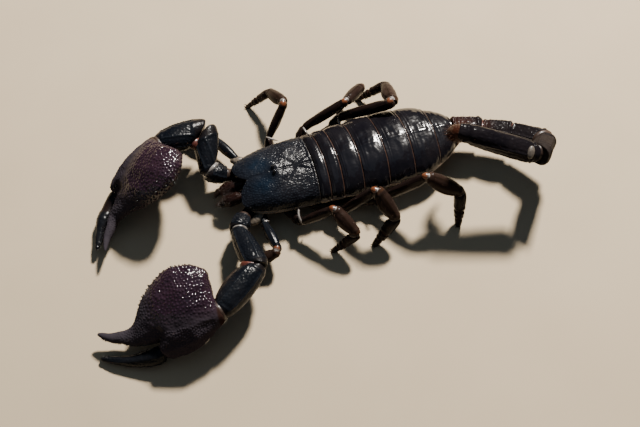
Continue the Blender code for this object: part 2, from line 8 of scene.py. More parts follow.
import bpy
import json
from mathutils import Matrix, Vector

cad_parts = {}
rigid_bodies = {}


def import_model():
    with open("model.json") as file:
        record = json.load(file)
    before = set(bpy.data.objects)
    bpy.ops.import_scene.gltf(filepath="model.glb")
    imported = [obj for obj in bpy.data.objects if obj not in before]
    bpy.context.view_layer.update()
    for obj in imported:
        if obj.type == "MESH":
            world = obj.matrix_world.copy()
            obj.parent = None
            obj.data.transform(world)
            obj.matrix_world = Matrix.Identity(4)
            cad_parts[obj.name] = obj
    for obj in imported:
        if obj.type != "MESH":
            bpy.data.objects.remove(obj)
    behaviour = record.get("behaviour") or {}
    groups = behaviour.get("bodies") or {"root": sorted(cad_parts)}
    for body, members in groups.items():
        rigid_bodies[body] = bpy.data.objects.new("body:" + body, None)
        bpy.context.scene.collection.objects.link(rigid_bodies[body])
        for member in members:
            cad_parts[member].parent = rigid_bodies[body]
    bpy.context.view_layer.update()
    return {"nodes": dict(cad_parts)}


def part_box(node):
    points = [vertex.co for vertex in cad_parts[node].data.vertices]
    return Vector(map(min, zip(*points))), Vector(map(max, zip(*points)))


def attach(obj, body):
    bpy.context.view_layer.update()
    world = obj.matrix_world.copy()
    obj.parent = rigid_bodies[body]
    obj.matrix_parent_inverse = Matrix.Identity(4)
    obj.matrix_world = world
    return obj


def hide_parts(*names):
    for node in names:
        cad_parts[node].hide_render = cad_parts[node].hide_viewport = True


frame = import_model()

# %% The libraries and the millimetre
import json
import math
import random

import bpy
import numpy as np
from mathutils import Matrix, Vector, noise
from mathutils.kdtree import KDTree

MM = 0.001
PIECES = []
SIDES = (("left", 1), ("right", -1))
SHARP_EDGE = 48  # degrees: a sharper edge than this is rounded
CRISP_EDGE = 40  # degrees: a sharper edge than this isn't shaded smooth
HIDDEN = -0.05  # a point whose normal's height is under this faces down, out of sight
# The share of its triangles that each kind of piece keeps.
KEPT = {
    "shield": 0.58, "back plate": 0.52, "trunk": 0.55, "bases": 0.6, "limb": 0.65, "hand": 0.75, "sting": 0.7
}

# %% [markdown]
# ## Selecting, as by hand
# Blender's operators act on whatever is selected. Loading the solids leaves them selected,
# so each step first deselects everything and then picks the one object that it shapes.

# %% Pick one object
def pick(piece):
    if bpy.context.object and bpy.context.object.mode != "OBJECT":
        bpy.ops.object.mode_set(mode="OBJECT")
    bpy.ops.object.select_all(action="DESELECT")
    piece.select_set(True)
    bpy.context.view_layer.objects.active = piece
    return piece


def open_edit(piece, mode="VERT"):
    pick(piece)
    bpy.ops.object.mode_set(mode="EDIT")
    bpy.ops.mesh.select_mode(type=mode)
    bpy.ops.mesh.select_all(action="SELECT")


def close_edit():
    bpy.ops.object.mode_set(mode="OBJECT")


def keep_place(piece, name):
    """Moves an object's place into its mesh, so that the object itself sits at the origin."""
    pick(piece)
    bpy.ops.object.transform_apply(location=True, rotation=True, scale=True)
    piece.name = name
    return piece


def apply_modifier(piece, kind, **settings):
    pick(piece)
    modifier = piece.modifiers.new(kind.title(), kind)
    for setting, value in settings.items():
        setattr(modifier, setting, value)
    bpy.ops.object.modifier_apply(modifier=modifier.name)


def subdivide(piece, levels):
    apply_modifier(piece, "SUBSURF", levels=levels, render_levels=levels)


def smooth(piece):
    pick(piece)
    bpy.ops.object.shade_smooth()
    return piece


def smooth_but_edges(piece):
    pick(piece)
    bpy.ops.object.shade_smooth_by_angle(angle=math.radians(CRISP_EDGE))


def even_net(piece, spacing, softening, rounds):
    """Draws a fine, even net over a lumpy body, and softens its steps."""
    apply_modifier(piece, "REMESH", mode="VOXEL", voxel_size=spacing * MM)
    apply_modifier(piece, "SMOOTH", factor=softening, iterations=rounds)


def thin(piece, share_kept, hidden=None):
    """Takes triangles away where they show least: flat places, or only the points that are hidden."""
    settings = {}
    if hidden is not None:
        group = piece.vertex_groups.new(name="hidden")
        group.add([int(index) for index in np.nonzero(hidden)[0]], 1.0, "REPLACE")
        settings["vertex_group"] = group.name
    apply_modifier(piece, "DECIMATE", ratio=share_kept, **settings)
    piece.vertex_groups.clear()


# %% [markdown]
# ## A finer copy of a solid
# A solid is a coarse net of flat faces. Its copy is merged, turned back into four-sided
# faces, given a small rounding along its sharp rims, and subdivided. That keeps the solid's
# place and outline, and gives a smooth surface with enough points to carry granules.
# Once a piece is shaped, thin() takes triangles away again where they show least, such as the
# hidden underside of a plate, so that the whole animal stays light enough to turn and carry.

# %% Copy, merge, round and subdivide
def fine_copy(node, name, levels, rim):
    piece = bpy.data.objects.new(name, frame["nodes"][node].data.copy())
    bpy.context.scene.collection.objects.link(piece)
    piece.data.materials.clear()
    open_edit(piece)
    bpy.ops.mesh.customdata_custom_splitnormals_clear()
    bpy.ops.mesh.remove_doubles(threshold=1e-6)
    bpy.ops.mesh.tris_convert_to_quads(face_threshold=math.radians(60), shape_threshold=math.radians(80))
    if rim:
        bpy.ops.mesh.select_mode(type="EDGE")
        bpy.ops.mesh.select_all(action="DESELECT")
        bpy.ops.mesh.edges_select_sharp(sharpness=math.radians(SHARP_EDGE))
        bpy.ops.mesh.bevel(offset=rim * MM, offset_type="OFFSET", segments=2, affect="EDGES")
    close_edit()
    if levels:
        subdivide(piece, levels)
    return smooth(piece)


# %% [markdown]
# ## Shaping by numbers
# Granules, keels and furrows are too many to push one by one. The points of a mesh are read
# into an array, moved along their normals by a rule in words of the animal, and put back.

# %% Read and move the points of a mesh
def points_of(piece):
    flat = np.empty(len(piece.data.vertices) * 3, np.float32)
    piece.data.vertices.foreach_get("co", flat)
    return flat.reshape(-1, 3).astype(float) / MM


def normals_of(piece):
    flat = np.empty(len(piece.data.vertices) * 3, np.float32)
    piece.data.vertices.foreach_get("normal", flat)
    return flat.reshape(-1, 3).astype(float)


def put_points(piece, points):
    piece.data.vertices.foreach_set("co", (points * MM).astype(np.float32).ravel())
    piece.data.update()


def raise_by(piece, height):
    """Moves each point along its normal by its height in millimetres."""
    put_points(piece, points_of(piece) + normals_of(piece) * np.asarray(height)[:, None])


def mark(piece, name, values):
    """Keeps one number for each point, which the material reads by name."""
    layer = piece.data.attributes.get(name) or piece.data.attributes.new(name, "FLOAT", "POINT")
    layer.data.foreach_set("value", np.clip(values, 0, 1).astype(np.float32))


def unit(vector):
    return vector / np.linalg.norm(vector)


def smooth_step(low, high, value):
    share = np.clip((np.asarray(value, float) - low) / (high - low), 0, 1)
    return share * share * (3 - 2 * share)


def bell(distance, width):
    return np.exp(-((np.asarray(distance) / width) ** 2))


def waver(points, scale, seed):
    """Soft random waves from -1 to 1, with bumps about this many millimetres wide."""
    shift = Vector((seed * 7.3, seed * 3.1, seed * 5.7))
    return np.array([noise.noise(Vector(point) / scale + shift) for point in points])


# %% Place granules evenly and raise them
def scatter(points, spacing, seed, keep=None):
    """Picks points in a random order, leaving out any that is nearer than the spacing to one picked."""
    order = list(range(len(points))) if keep is None else list(np.flatnonzero(keep))
    random.Random(seed).shuffle(order)
    taken, cells = [], {}
    for index in order:
        point = points[index]
        cell = tuple(int(c) for c in np.floor(point / spacing))
        near = (
            other
            for dx in (-1, 0, 1)
            for dy in (-1, 0, 1)
            for dz in (-1, 0, 1)
            for other in cells.get((cell[0] + dx, cell[1] + dy, cell[2] + dz), ())
        )
        if all(((points[other] - point) ** 2).sum() > spacing**2 for other in near):
            taken.append(index)
            cells.setdefault(cell, []).append(index)
    return taken


def beads(points, chosen, radius, seed):
    """For each point, 0 to 1: how far up a round granule it lies."""
    tree = KDTree(len(chosen))
    rng = random.Random(seed)
    sizes = [radius * rng.uniform(0.62, 1.12) for _ in chosen]
    for slot_number, index in enumerate(chosen):
        tree.insert(Vector(points[index]), slot_number)
    tree.balance()
    raised = np.zeros(len(points))
    for number, point in enumerate(points):
        _, nearest, distance = tree.find(Vector(point))
        share = distance / sizes[nearest]
        if share < 1:
            raised[number] = math.sqrt(1 - share * share)
    return raised


# %% [markdown]
# ## Finding the joints
# Two solids that meet leave a narrow gap. The points of each that lie close to the other
# give the middle, the size and the plane of the joint, so nothing has to be measured twice.

# %% Where two solids meet
def solid_points(node):
    flat = np.empty(len(frame["nodes"][node].data.vertices) * 3, np.float32)
    frame["nodes"][node].data.vertices.foreach_get("co", flat)
    return np.unique(np.round(flat.reshape(-1, 3) / MM, 3), axis=0)


def joint(first, second, reach=1.1):
    """The middle of the joint, its radius, and the direction from the first solid to the second."""
    a, b = solid_points(first), solid_points(second)
    gap = np.linalg.norm(a[:, None] - b[None], axis=2)
    near_a = a[gap.min(axis=1) < max(reach, gap.min() + 0.5)]
    near_b = b[gap.min(axis=0) < max(reach, gap.min() + 0.5)]
    middle = 0.5 * (near_a.mean(axis=0) + near_b.mean(axis=0))
    ring = np.concatenate([near_a, near_b])
    radius = np.linalg.norm(ring - middle, axis=1).mean()
    _, _, axes = np.linalg.svd(ring - middle)
    way = axes[2] * np.sign(axes[2] @ (b.mean(axis=0) - a.mean(axis=0)))
    return middle, radius, way


class Limb:
    """Measures a point along a limb's axis and around it, from joint to joint."""

    def __init__(self, start, end, back):
        self.start, self.end = np.asarray(start, float), np.asarray(end, float)
        self.length = np.linalg.norm(self.end - self.start)
        self.way = (self.end - self.start) / self.length
        back = np.asarray(back, float)
        self.back = unit(back - self.way * (back @ self.way))
        self.side = np.cross(self.way, self.back)

    def measure(self, points):
        """The share of the length, the angle from the back in degrees, and the distance out."""
        off = points - self.start
        along = off @ self.way
        out = off - along[:, None] * self.way
        angle = np.degrees(np.arctan2(out @ self.side, out @ self.back))
        return along / self.length, angle, np.linalg.norm(out, axis=1)


def turn(angle, other):
    """The turn between two angles, from -180 to 180 degrees."""
    return (angle - other + 180) % 360 - 180


# %% Keels: ridges along a limb, with a row of granules on each
BEADED = 0.6  # the share of a keel's height that its granules make up


def keels(limb, points, angles, height, width, spacing):
    share, angle, out = limb.measure(points)
    rise = np.zeros(len(points))
    fade = smooth_step(0.03, 0.12, share) * smooth_step(0.98, 0.9, share)
    for number, at in enumerate(angles):
        across = out * np.radians(turn(angle, at))
        steps = share * limb.length / spacing + 0.37 * number
        row = np.sqrt(np.clip(1 - (2 * (steps % 1) - 1) ** 2, 0, 1))
        rise = np.maximum(rise, bell(across, width) * (1 - BEADED + BEADED * row))
    return rise * height * fade


print("tools ready")

# %% [markdown]
# ## Finishes from shader nodes
# Cuticle is hard, dark and glossy, and never one flat colour: it has cloudy patches, tiny
# pits and softer gloss where it is worn. One node group makes those from Object coordinates,
# so they stay with the animal, and each finish places it with its own colours and sizes.

# %% A short way to place nodes
def node(tree, kind, links=(), **settings):
    """Adds a node. Links pair an input's name or number with a value or with an output."""
    made = tree.nodes.new("ShaderNode" + kind)
    for setting, value in settings.items():
        setattr(made, setting, value)
    for place, value in dict(links).items():
        if isinstance(value, bpy.types.NodeSocket):
            tree.links.new(value, made.inputs[place])
        else:
            made.inputs[place].default_value = value
    return made


def new_group(name, inputs, outputs):
    group = bpy.data.node_groups.new(name, "ShaderNodeTree")
    for socket, kind in inputs.items():
        group.interface.new_socket(name=socket, in_out="INPUT", socket_type="NodeSocket" + kind)
    for socket, kind in outputs.items():
        group.interface.new_socket(name=socket, in_out="OUTPUT", socket_type="NodeSocket" + kind)
    return group, group.nodes.new("NodeGroupInput").outputs, group.nodes.new("NodeGroupOutput").inputs


def blend(tree, share, first, second):
    return node(tree, "Mix", {0: share, 6: first, 7: second}, data_type="RGBA").outputs[2]


def spread(tree, value, low, high, to_low, to_high):
    return node(tree, "MapRange", {0: value, 1: low, 2: high, 3: to_low, 4: to_high}).outputs[0]


# %% The cuticle group
CUTICLE, given, gives = new_group(
    "cuticle",
    {"Dark": "Color", "Light": "Color", "Patch": "Float", "Grain": "Float"},
    {"Color": "Color", "Gloss": "Float", "Height": "Float"},
)
place = node(CUTICLE, "TexCoord").outputs["Object"]
settings = {"Vector": place, "Scale": given["Patch"], "Detail": 5.0, "Roughness": 0.6}
patches = node(CUTICLE, "TexNoise", settings)
settings = {"Vector": place, "Scale": given["Grain"], "Detail": 3.0, "Roughness": 0.55}
grains = node(CUTICLE, "TexNoise", settings)
pits = node(CUTICLE, "TexVoronoi", {"Vector": place, "Scale": given["Grain"]}, feature="SMOOTH_F1")
cloud = spread(CUTICLE, patches.outputs["Fac"], 0.36, 0.66, 0.0, 1.0)
CUTICLE.links.new(blend(CUTICLE, cloud, given["Dark"], given["Light"]), gives["Color"])
rubbed = node(CUTICLE, "Math", {0: cloud, 1: grains.outputs["Fac"]}, operation="ADD").outputs[0]
CUTICLE.links.new(spread(CUTICLE, rubbed, 0.2, 1.5, 0.0, 1.0), gives["Gloss"])
domes = node(CUTICLE, "Math", {0: 1.0, 1: pits.outputs["Distance"]}, operation="SUBTRACT").outputs[0]
relief = node(CUTICLE, "Math", {0: domes, 1: grains.outputs["Fac"]}, operation="ADD").outputs[0]
CUTICLE.links.new(relief, gives["Height"])
print("cuticle group:", len(CUTICLE.nodes), "nodes")


# %% [markdown]
# A finish mixes the group's colour with up to three marks kept on the points: `bead`, how far
# up a granule a point lies; `tip`, a part with a colour of its own, which on the shield and the
# arms is a painted reflection, on the fourth tail part a painted sheen, and in the folds of the
# pale skin painted shade; and `rim`, the thin edge of a plate or the end of a limb, which on the
# other folded skins and the trunk is painted shade in the creases. Where a tip is dull, the
# clear coat fades there, and also where the mark `under` says that the surface faces the floor.

# %% Make a cuticle finish
def shell_finish(name, dark, light, gloss, rim=None, bead=None, tip=None,
                 patch=90, grain=2600, bump=0.02, coat=0.0, shine=0.32, dull_tip=0.0):
    """A finish from two colours, the roughness where rubbed and where not, and its marks' colours."""
    material = bpy.data.materials.new(name)
    material.use_nodes = True
    tree = material.node_tree
    surface = tree.nodes["Principled BSDF"]
    group = node(tree, "Group", node_tree=CUTICLE)
    for place, value in (("Dark", dark), ("Light", light), ("Patch", patch), ("Grain", grain)):
        group.inputs[place].default_value = (*value, 1) if isinstance(value, tuple) else value
    colour = group.outputs["Color"]
    for attribute, paint in (("bead", bead), ("tip", tip), ("rim", rim)):
        if paint:
            share = node(tree, "Attribute", attribute_name=attribute).outputs["Fac"]
            colour = blend(tree, share, colour, (*paint, 1))
    tree.links.new(colour, surface.inputs["Base Color"])
    rough = spread(tree, group.outputs["Gloss"], 0.0, 1.0, *gloss)
    if dull_tip:
        share = node(tree, "Attribute", attribute_name="tip").outputs["Fac"]
        rough = blend(tree, share, rough, (dull_tip, dull_tip, dull_tip, 1))
    tree.links.new(rough, surface.inputs["Roughness"])
    relief = node(tree, "Bump", {"Height": group.outputs["Height"], "Strength": 1.0, "Distance": bump * MM})
    tree.links.new(relief.outputs["Normal"], surface.inputs["Normal"])
    surface.inputs["Coat Weight"].default_value = coat
    if coat and dull_tip:
        dulled = node(tree, "Attribute", attribute_name="tip").outputs["Fac"]
        below = node(tree, "Attribute", attribute_name="under").outputs["Fac"]
        either = node(tree, "Math", {0: dulled, 1: below}, operation="MAXIMUM").outputs[0]
        tree.links.new(spread(tree, either, 0.0, 0.85, coat, 0.0), surface.inputs["Coat Weight"])
    surface.inputs["Coat Roughness"].default_value = 0.12
    surface.inputs["Specular IOR Level"].default_value = shine
    surface.inputs["IOR"].default_value = 1.5
    return material


SOFT = {"grain": 1500, "bump": 0.05}
FINISH = {
    # The shield's tip colour is a painted blue reflection of the sky on its front.
    "carapace": shell_finish(
        "carapace_shell", (0.0044, 0.0043, 0.0062), (0.0088, 0.0084, 0.0106), (0.17, 0.30),
        rim=(0.26, 0.21, 0.16), bead=(0.0125, 0.0150, 0.0195), tip=(0.0044, 0.0088, 0.0165),
        bump=0.055, shine=0.12),
    "tergite": shell_finish(
        "back_plate_shell", (0.0036, 0.0030, 0.0044), (0.0072, 0.0060, 0.0074), (0.10, 0.24),
        rim=(0.050, 0.026, 0.018), bead=(0.006, 0.0055, 0.008), tip=(0.22, 0.165, 0.12),
        patch=120, grain=900, bump=0.03, coat=0.2),
    # The arm's tip colour is a painted reflection of the floor: an olive-brown band low on each part.
    "arm": shell_finish(
        "arm_shell", (0.0026, 0.0034, 0.0054), (0.0058, 0.0062, 0.0080), (0.18, 0.34),
        rim=(0.009, 0.0065, 0.0060), bead=(0.006, 0.0075, 0.0105), tip=(0.022, 0.012, 0.0075), shine=0.12),
    "hand": shell_finish(
        "hand_shell", (0.0115, 0.0049, 0.0097), (0.0230, 0.0103, 0.0168), (0.12, 0.24),
        rim=(0.020, 0.010, 0.008), bead=(0.0205, 0.0090, 0.0162), tip=(0.0310, 0.0265, 0.0320),
        grain=2200, coat=0.9, shine=0.0, dull_tip=0.55),
    "finger": shell_finish(
        "finger_shell", (0.0026, 0.0032, 0.0044), (0.0058, 0.0056, 0.0064), (0.20, 0.36),
        rim=(0.011, 0.0060, 0.0050), bead=(0.006, 0.0065, 0.0085), shine=0.12),
    "leg": shell_finish(
        "leg_shell", (0.0058, 0.0040, 0.0038), (0.0125, 0.0070, 0.0056), (0.14, 0.28),
        rim=(0.030, 0.013, 0.008), bead=(0.009, 0.005, 0.004), shine=0.08),
    "knee": shell_finish(
        "leg_knee_shell", (0.0115, 0.0072, 0.0060), (0.0250, 0.0140, 0.0105), (0.14, 0.28),
        rim=(0.036, 0.017, 0.009), bead=(0.012, 0.007, 0.0045), shine=0.06),
    # The tail's tip colour is a painted grey-brown sheen on the fourth part; on the second and third parts a
    # faint share of it goes with a duller surface.
    "tail": shell_finish(
        "tail_shell", (0.0034, 0.0030, 0.0044), (0.0080, 0.0064, 0.0074), (0.16, 0.30),
        rim=(0.036, 0.013, 0.009), bead=(0.009, 0.0078, 0.0095), tip=(0.018, 0.0140, 0.0125),
        coat=0.04, shine=0.015, dull_tip=0.55),
    "telson": shell_finish(
        "sting_shell", (0.013, 0.0042, 0.0028), (0.036, 0.0115, 0.0060), (0.22, 0.38),
        rim=(0.004, 0.003, 0.003), bead=(0.045, 0.016, 0.009), shine=0.14),
    "chelicera": shell_finish(
        "chelicera_shell", (0.0058, 0.0026, 0.0022), (0.0150, 0.0058, 0.0042), (0.12, 0.26),
        rim=(0.0040, 0.0020, 0.0018), bead=(0.0150, 0.0055, 0.0040), shine=0.14),
    "pectine": shell_finish(
        "comb_shell", (0.10, 0.052, 0.028), (0.19, 0.11, 0.062), (0.40, 0.55), rim=(0.22, 0.14, 0.085)),
    "belly": shell_finish(
        "belly_shell", (0.010, 0.0075, 0.0070), (0.026, 0.018, 0.014), (0.18, 0.32),
        rim=(0.085, 0.050, 0.032), bead=(0.02, 0.015, 0.012), coat=0.3),
    # On the tan, plain, brown and red skins the rim colour, and on the pale skin the tip colour, is painted
    # shade in the creases of the folds.
    "tan_skin": shell_finish(
        "tan_joint_skin", (0.085, 0.068, 0.051), (0.185, 0.152, 0.116), (0.34, 0.5),
        rim=(0.012, 0.009, 0.008), patch=350, coat=0.15, **SOFT),
    "skin": shell_finish(
        "joint_skin", (0.016, 0.0100, 0.0080), (0.045, 0.028, 0.020), (0.42, 0.58),
        rim=(0.008, 0.006, 0.005), patch=260, coat=0.1, **SOFT),
    "brown_skin": shell_finish(
        "brown_joint_skin", (0.022, 0.012, 0.0085), (0.060, 0.034, 0.022), (0.36, 0.52),
        rim=(0.010, 0.007, 0.006), patch=300, coat=0.15, **SOFT),
    "pale_skin": shell_finish(
        "pale_joint_skin", (0.11, 0.10, 0.092), (0.24, 0.22, 0.205), (0.30, 0.46),
        rim=(0.11, 0.033, 0.011), tip=(0.012, 0.009, 0.008), patch=400, grain=1800, bump=0.04, coat=0.2),
    "red_skin": shell_finish(
        "red_joint_skin", (0.060, 0.014, 0.010), (0.13, 0.034, 0.020), (0.32, 0.46),
        rim=(0.03, 0.010, 0.008), patch=300, coat=0.2, **SOFT),
    "tooth": shell_finish(
        "tooth_shell", (0.0030, 0.0028, 0.0034), (0.0090, 0.0062, 0.0062), (0.18, 0.32), coat=0.3),
    # The bend pad's pale colour is a painted reflection of light on the smooth skin.
    "pad_skin": shell_finish(
        "bend_pad_skin", (0.046, 0.038, 0.032), (0.105, 0.088, 0.072), (0.34, 0.5),
        rim=(0.012, 0.009, 0.008), patch=350, coat=0.1, **SOFT),
    "dark_bristle": shell_finish(
        "dark_bristle", (0.0090, 0.0034, 0.0022), (0.030, 0.012, 0.0070), (0.28, 0.42), patch=200),
    "bristle": shell_finish(
        "bristle", (0.030, 0.010, 0.0055), (0.085, 0.034, 0.016), (0.35, 0.5), patch=200),
    "eye": shell_finish(
        "eye_glass", (0.002, 0.002, 0.003), (0.005, 0.004, 0.004), (0.03, 0.08), bump=0.001, coat=1.0),
}
print("finishes:", len(FINISH))


# %% Dress a piece: its finish, its body, and the solids it stands for
def dress(piece, finish, slot, *replaced):
    piece.data.materials.clear()
    piece.data.materials.append(FINISH[finish])
    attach(piece, "root")
    if replaced:
        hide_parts(*replaced)
    PIECES.append(piece)
    return piece

# %% [markdown]
# ## The carapace
# The head and front body lie under one shield. Real ones are satin, finely granular at the
# sides, with a furrow down the middle, curved furrows on each side, a sunken triangle at the
# rear, and a low mound that carries the two main eyes. Each of these is a line on the plan
# of the shield with a width and a depth, so the points under it are simply lowered.

# %% Furrows drawn on the plan of a plate
def from_line(x, y, line):
    """The distance of each point from a line through the given corners."""
    best = np.full(len(x), 1e9)
    for (x0, y0), (x1, y1) in zip(line, line[1:]):
        reach = (x1 - x0) ** 2 + (y1 - y0) ** 2
        share = np.clip(((x - x0) * (x1 - x0) + (y - y0) * (y1 - y0)) / reach, 0, 1)
        best = np.minimum(best, np.hypot(x - x0 - share * (x1 - x0), y - y0 - share * (y1 - y0)))
    return best


def plan(node_name):
    low, high = (np.array(corner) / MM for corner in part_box(node_name))
    return low, high, 0.5 * (low + high)


# Each line: corners as (distance ahead of the rear edge, distance from the middle), width, depth.
FURROWS = (
    (((0.6, 0.0), (14.0, 0.0)), 0.34, 0.42),
    (((17.8, 0.0), (24.0, 0.0)), 0.42, 0.34),
    (((6.6, 0.2), (4.4, 1.2), (1.6, 3.0)), 0.55, 0.42),
    (((1.6, 0.0), (1.6, 3.0)), 0.45, 0.25),
    (((6.2, 0.8), (8.4, 3.6), (11.0, 6.0), (15.0, 8.0)), 0.65, 0.34),
    (((1.8, 5.0), (3.4, 8.0), (6.2, 10.4)), 0.7, 0.32),
    (((15.5, 2.6), (18.5, 4.6), (22.0, 5.4)), 0.8, 0.20),
)
SHALLOWER, WIDER = 0.62, 1.25  # the furrows are softened by these

# %% [markdown]
# The rear edge of the shield and of every back plate is curved: its middle lies farther back
# than its ends. One rule slides all of them back together, so that they still fit.

# %% Curve the edges of the plates
BOW = 1.1  # how far the middle of an edge lies behind its ends
HALF_SPAN = 13.5  # from the middle line to where the bow ends
BODY_FRONT, BODY_REAR = plan("tergite_1")[1][0], plan("tergite_7")[0][0]
BODY_MIDDLE = plan("tergite_4")[2][1]


def bowed(points):
    """Slides points back by most at the middle line, fading out towards the head and the tail."""
    aside = np.abs(points[:, 1] - BODY_MIDDLE) / HALF_SPAN
    along = smooth_step(BODY_FRONT + 9.0, BODY_FRONT, points[:, 0])
    along = along * smooth_step(BODY_REAR - 0.5, BODY_REAR + 6.0, points[:, 0])
    points = points.copy()
    points[:, 0] -= BOW * along * np.clip(1 - aside**2, 0, 1)
    return points


# %% Shape the carapace
shield = fine_copy("carapace", "carapace_shell", 4, rim=0.3)
points, normals = points_of(shield), normals_of(shield)
low, high, middle = plan("carapace")
ahead_of_rear, aside = points[:, 0] - low[0], np.abs(points[:, 1] - middle[1])
upper = smooth_step(0.05, 0.45, normals[:, 2])
height = np.zeros(len(points))
for line, width, depth in FURROWS:
    height -= SHALLOWER * depth * bell(from_line(ahead_of_rear, aside, line), WIDER * width)
for side, _ in SIDES:
    eye = plan("eye_" + side)[2]
    height += 0.62 * bell(np.hypot(points[:, 0] - eye[0], points[:, 1] - eye[1]), 0.95)
# The mound lies between the two eyes, which are equally far forward.
mound = np.hypot(points[:, 0] - eye[0], 0.8 * (points[:, 1] - middle[1]))
height += 0.42 * bell(mound, 2.6)
height -= 0.20 * bell(ahead_of_rear - 1.0, 0.28)
height += 0.15 * waver(points, 3.2, 1) + 0.07 * waver(points, 1.1, 2)
grainy = 0.35 + 0.65 * smooth_step(2.5, 9.0, aside + 0.25 * ahead_of_rear)
grains = beads(points, scatter(points, 0.72, 11, normals[:, 2] > 0.1), 0.34, 12)
flange = 0.32 * smooth_step(low[2] + 0.85, low[2] + 0.45, points[:, 2]) * (normals[:, 2] > -0.5)
raise_by(shield, upper * (height + 0.10 * grainy * grains) + flange)
put_points(shield, bowed(points_of(shield)))
mark(shield, "bead", grains * grainy)
# The two soft blue patches at the front of the shield, and the blue over its front half, are a painted
# reflection of the sky, kept in the mark `tip`.
painted_sky_sheen = bell(np.hypot((ahead_of_rear - 17.4) / 1.2, aside - 4.0), 3.1)
painted_sky_sheen = np.clip(painted_sky_sheen + 0.22 * smooth_step(9.0, 17.0, ahead_of_rear), 0, 1)
mark(shield, "tip", painted_sky_sheen * (0.85 + 0.3 * waver(points, 1.3, 4)))
above_rim = points[:, 2] - 0.02 * ahead_of_rear + 0.12 * waver(points, 1.4, 5)
edge = smooth_step(low[2] + 0.95, low[2] + 0.70, above_rim)
edge = np.maximum(edge, 0.12 * smooth_step(0.40, 0.1, ahead_of_rear))
mark(shield, "rim", edge * (0.6 + 0.4 * waver(points, 2.0, 3)))
thin(shield, KEPT["shield"], normals[:, 2] < HIDDEN)
dress(shield, "carapace", "carapace", "carapace")
print("carapace:", len(points), "points")

# %% [markdown]
# ## The back plates
# Seven plates run from the carapace to the tail. They are the glossiest part of the animal:
# almost smooth, faintly dented, with a duller band in front that slides under the plate
# ahead, a fine raised rim behind with a thin brown line on it, and pale lower edges.

# %% Shape one back plate
def back_plate(number):
    name = f"tergite_{number}"
    plate = fine_copy(name, f"back_plate_{number}", 4, rim=0.2)
    points, normals = points_of(plate), normals_of(plate)
    low, high, middle = plan(name)
    behind, ahead = points[:, 0] - low[0], high[0] - points[:, 0]
    aside = np.abs(points[:, 1] - middle[1])
    upper = smooth_step(-0.1, 0.4, normals[:, 2])
    long = high[0] - low[0]
    camber = 0.10 * min(long, 4.0) * (1 - ((behind - 0.45 * long) / (0.55 * long)) ** 2)
    height = camber - 0.14 * smooth_step(0.16 * long, 0.11 * long, ahead)
    height -= 0.10 * bell(ahead - 0.19 * long, 0.3)
    height += 0.07 * bell(behind - 0.25, 0.22) - 0.09 * bell(behind - 0.75, 0.28)
    dents = np.hypot(behind - 0.60 * long, aside - 3.6)
    height -= 0.16 * bell(dents, 0.16 * long + 0.4)
    height += 0.10 * bell(aside, 0.55) * smooth_step(0.1 * long, 0.4 * long, behind)
    height += 0.14 * waver(points * (1.3, 0.5, 0.5), 1.9, number) + 0.03 * waver(points, 0.8, number + 9)
    grains = beads(points, scatter(points, 1.15, 20 + number, normals[:, 2] > 0), 0.26, number)
    fine = smooth_step(0.5 * long, 0.15 * long, behind) * smooth_step(2.0, 8.0, aside)
    flange = 0.28 * smooth_step(low[2] + 0.95, low[2] + 0.55, points[:, 2]) * (normals[:, 2] > -0.5)
    raise_by(plate, upper * (height + 0.06 * fine * grains) + flange)
    put_points(plate, bowed(points_of(plate)))
    mark(plate, "bead", grains * fine)
    uneven = 0.7 + 0.5 * waver(points, 1.6, number + 20)
    mark(plate, "rim", smooth_step(0.30, 0.12, behind) * uneven)
    above_rim = points[:, 2] + 0.15 * waver(points, 1.2, 5)
    mark(plate, "tip", smooth_step(low[2] + 1.1, low[2] + 0.8, above_rim) * uneven)
    thin(plate, KEPT["back plate"], normals[:, 2] < HIDDEN)
    return dress(plate, "tergite", "tergite", name)


for number in range(1, 8):
    back_plate(number)
print("back plates done")

# %% [markdown]
# ## The soft trunk
# Between the back plates and the belly plates the body is soft skin, folded lengthwise, with
# an upright crease at each segment. It is one piece, so no seam shows.

# %% Shape the trunk
trunk = fine_copy("trunk", "trunk_skin", 4, rim=0)
points, normals = points_of(trunk), normals_of(trunk)
flank = smooth_step(0.55, 0.2, normals[:, 2])
creases = [plan(f"tergite_{number}")[0][0] for number in range(1, 7)]
height = sum(-0.4 * bell(points[:, 0] - x, 0.55) for x in creases)
height = height + 0.22 * waver(points * (0.25, 1.0, 1.0), 0.9, 4) + 0.08 * waver(points, 0.5, 5)
raise_by(trunk, flank * height)
put_points(trunk, bowed(points_of(trunk)))
# Where the skin sinks into its creases and folds it is painted darker: painted shade.
mark(trunk, "rim", smooth_step(-0.05, -0.45, height))
thin(trunk, KEPT["trunk"])
dress(trunk, "skin", "flesh", "trunk")

# %% [markdown]
# The belly has five broad plates of its own. Each is cut from a copy of the trunk with three
# straight cuts, then given a thickness outwards.

# %% Cut a belly plate
def belly_plate(number, rear, front):
    plate = fine_copy("trunk", f"belly_plate_{number}", 2, rim=0)
    top = plan("trunk")[0][2] + 2.6
    open_edit(plate)
    for place, way in (((rear, 0, 0), (-1, 0, 0)), ((front, 0, 0), (1, 0, 0)), ((0, 0, top), (0, 0, 1))):
        bpy.ops.mesh.select_all(action="SELECT")
        bpy.ops.mesh.bisect(plane_co=Vector(place) * MM, plane_no=way, clear_outer=True)
    close_edit()
    apply_modifier(plate, "SOLIDIFY", thickness=0.45 * MM, offset=1.0, use_even_offset=True)
    apply_modifier(plate, "BEVEL", width=0.12 * MM, segments=2, limit_method="ANGLE")
    smooth_but_edges(plate)
    mark(plate, "rim", smooth_step(0.5, 0.1, points_of(plate)[:, 0] - rear))
    return dress(plate, "belly", "tail")


for number in range(3, 8):
    low, high, _ = plan(f"tergite_{number}")
    belly_plate(number, low[0] + 0.5, high[0] - 0.25)
print("belly plates done")

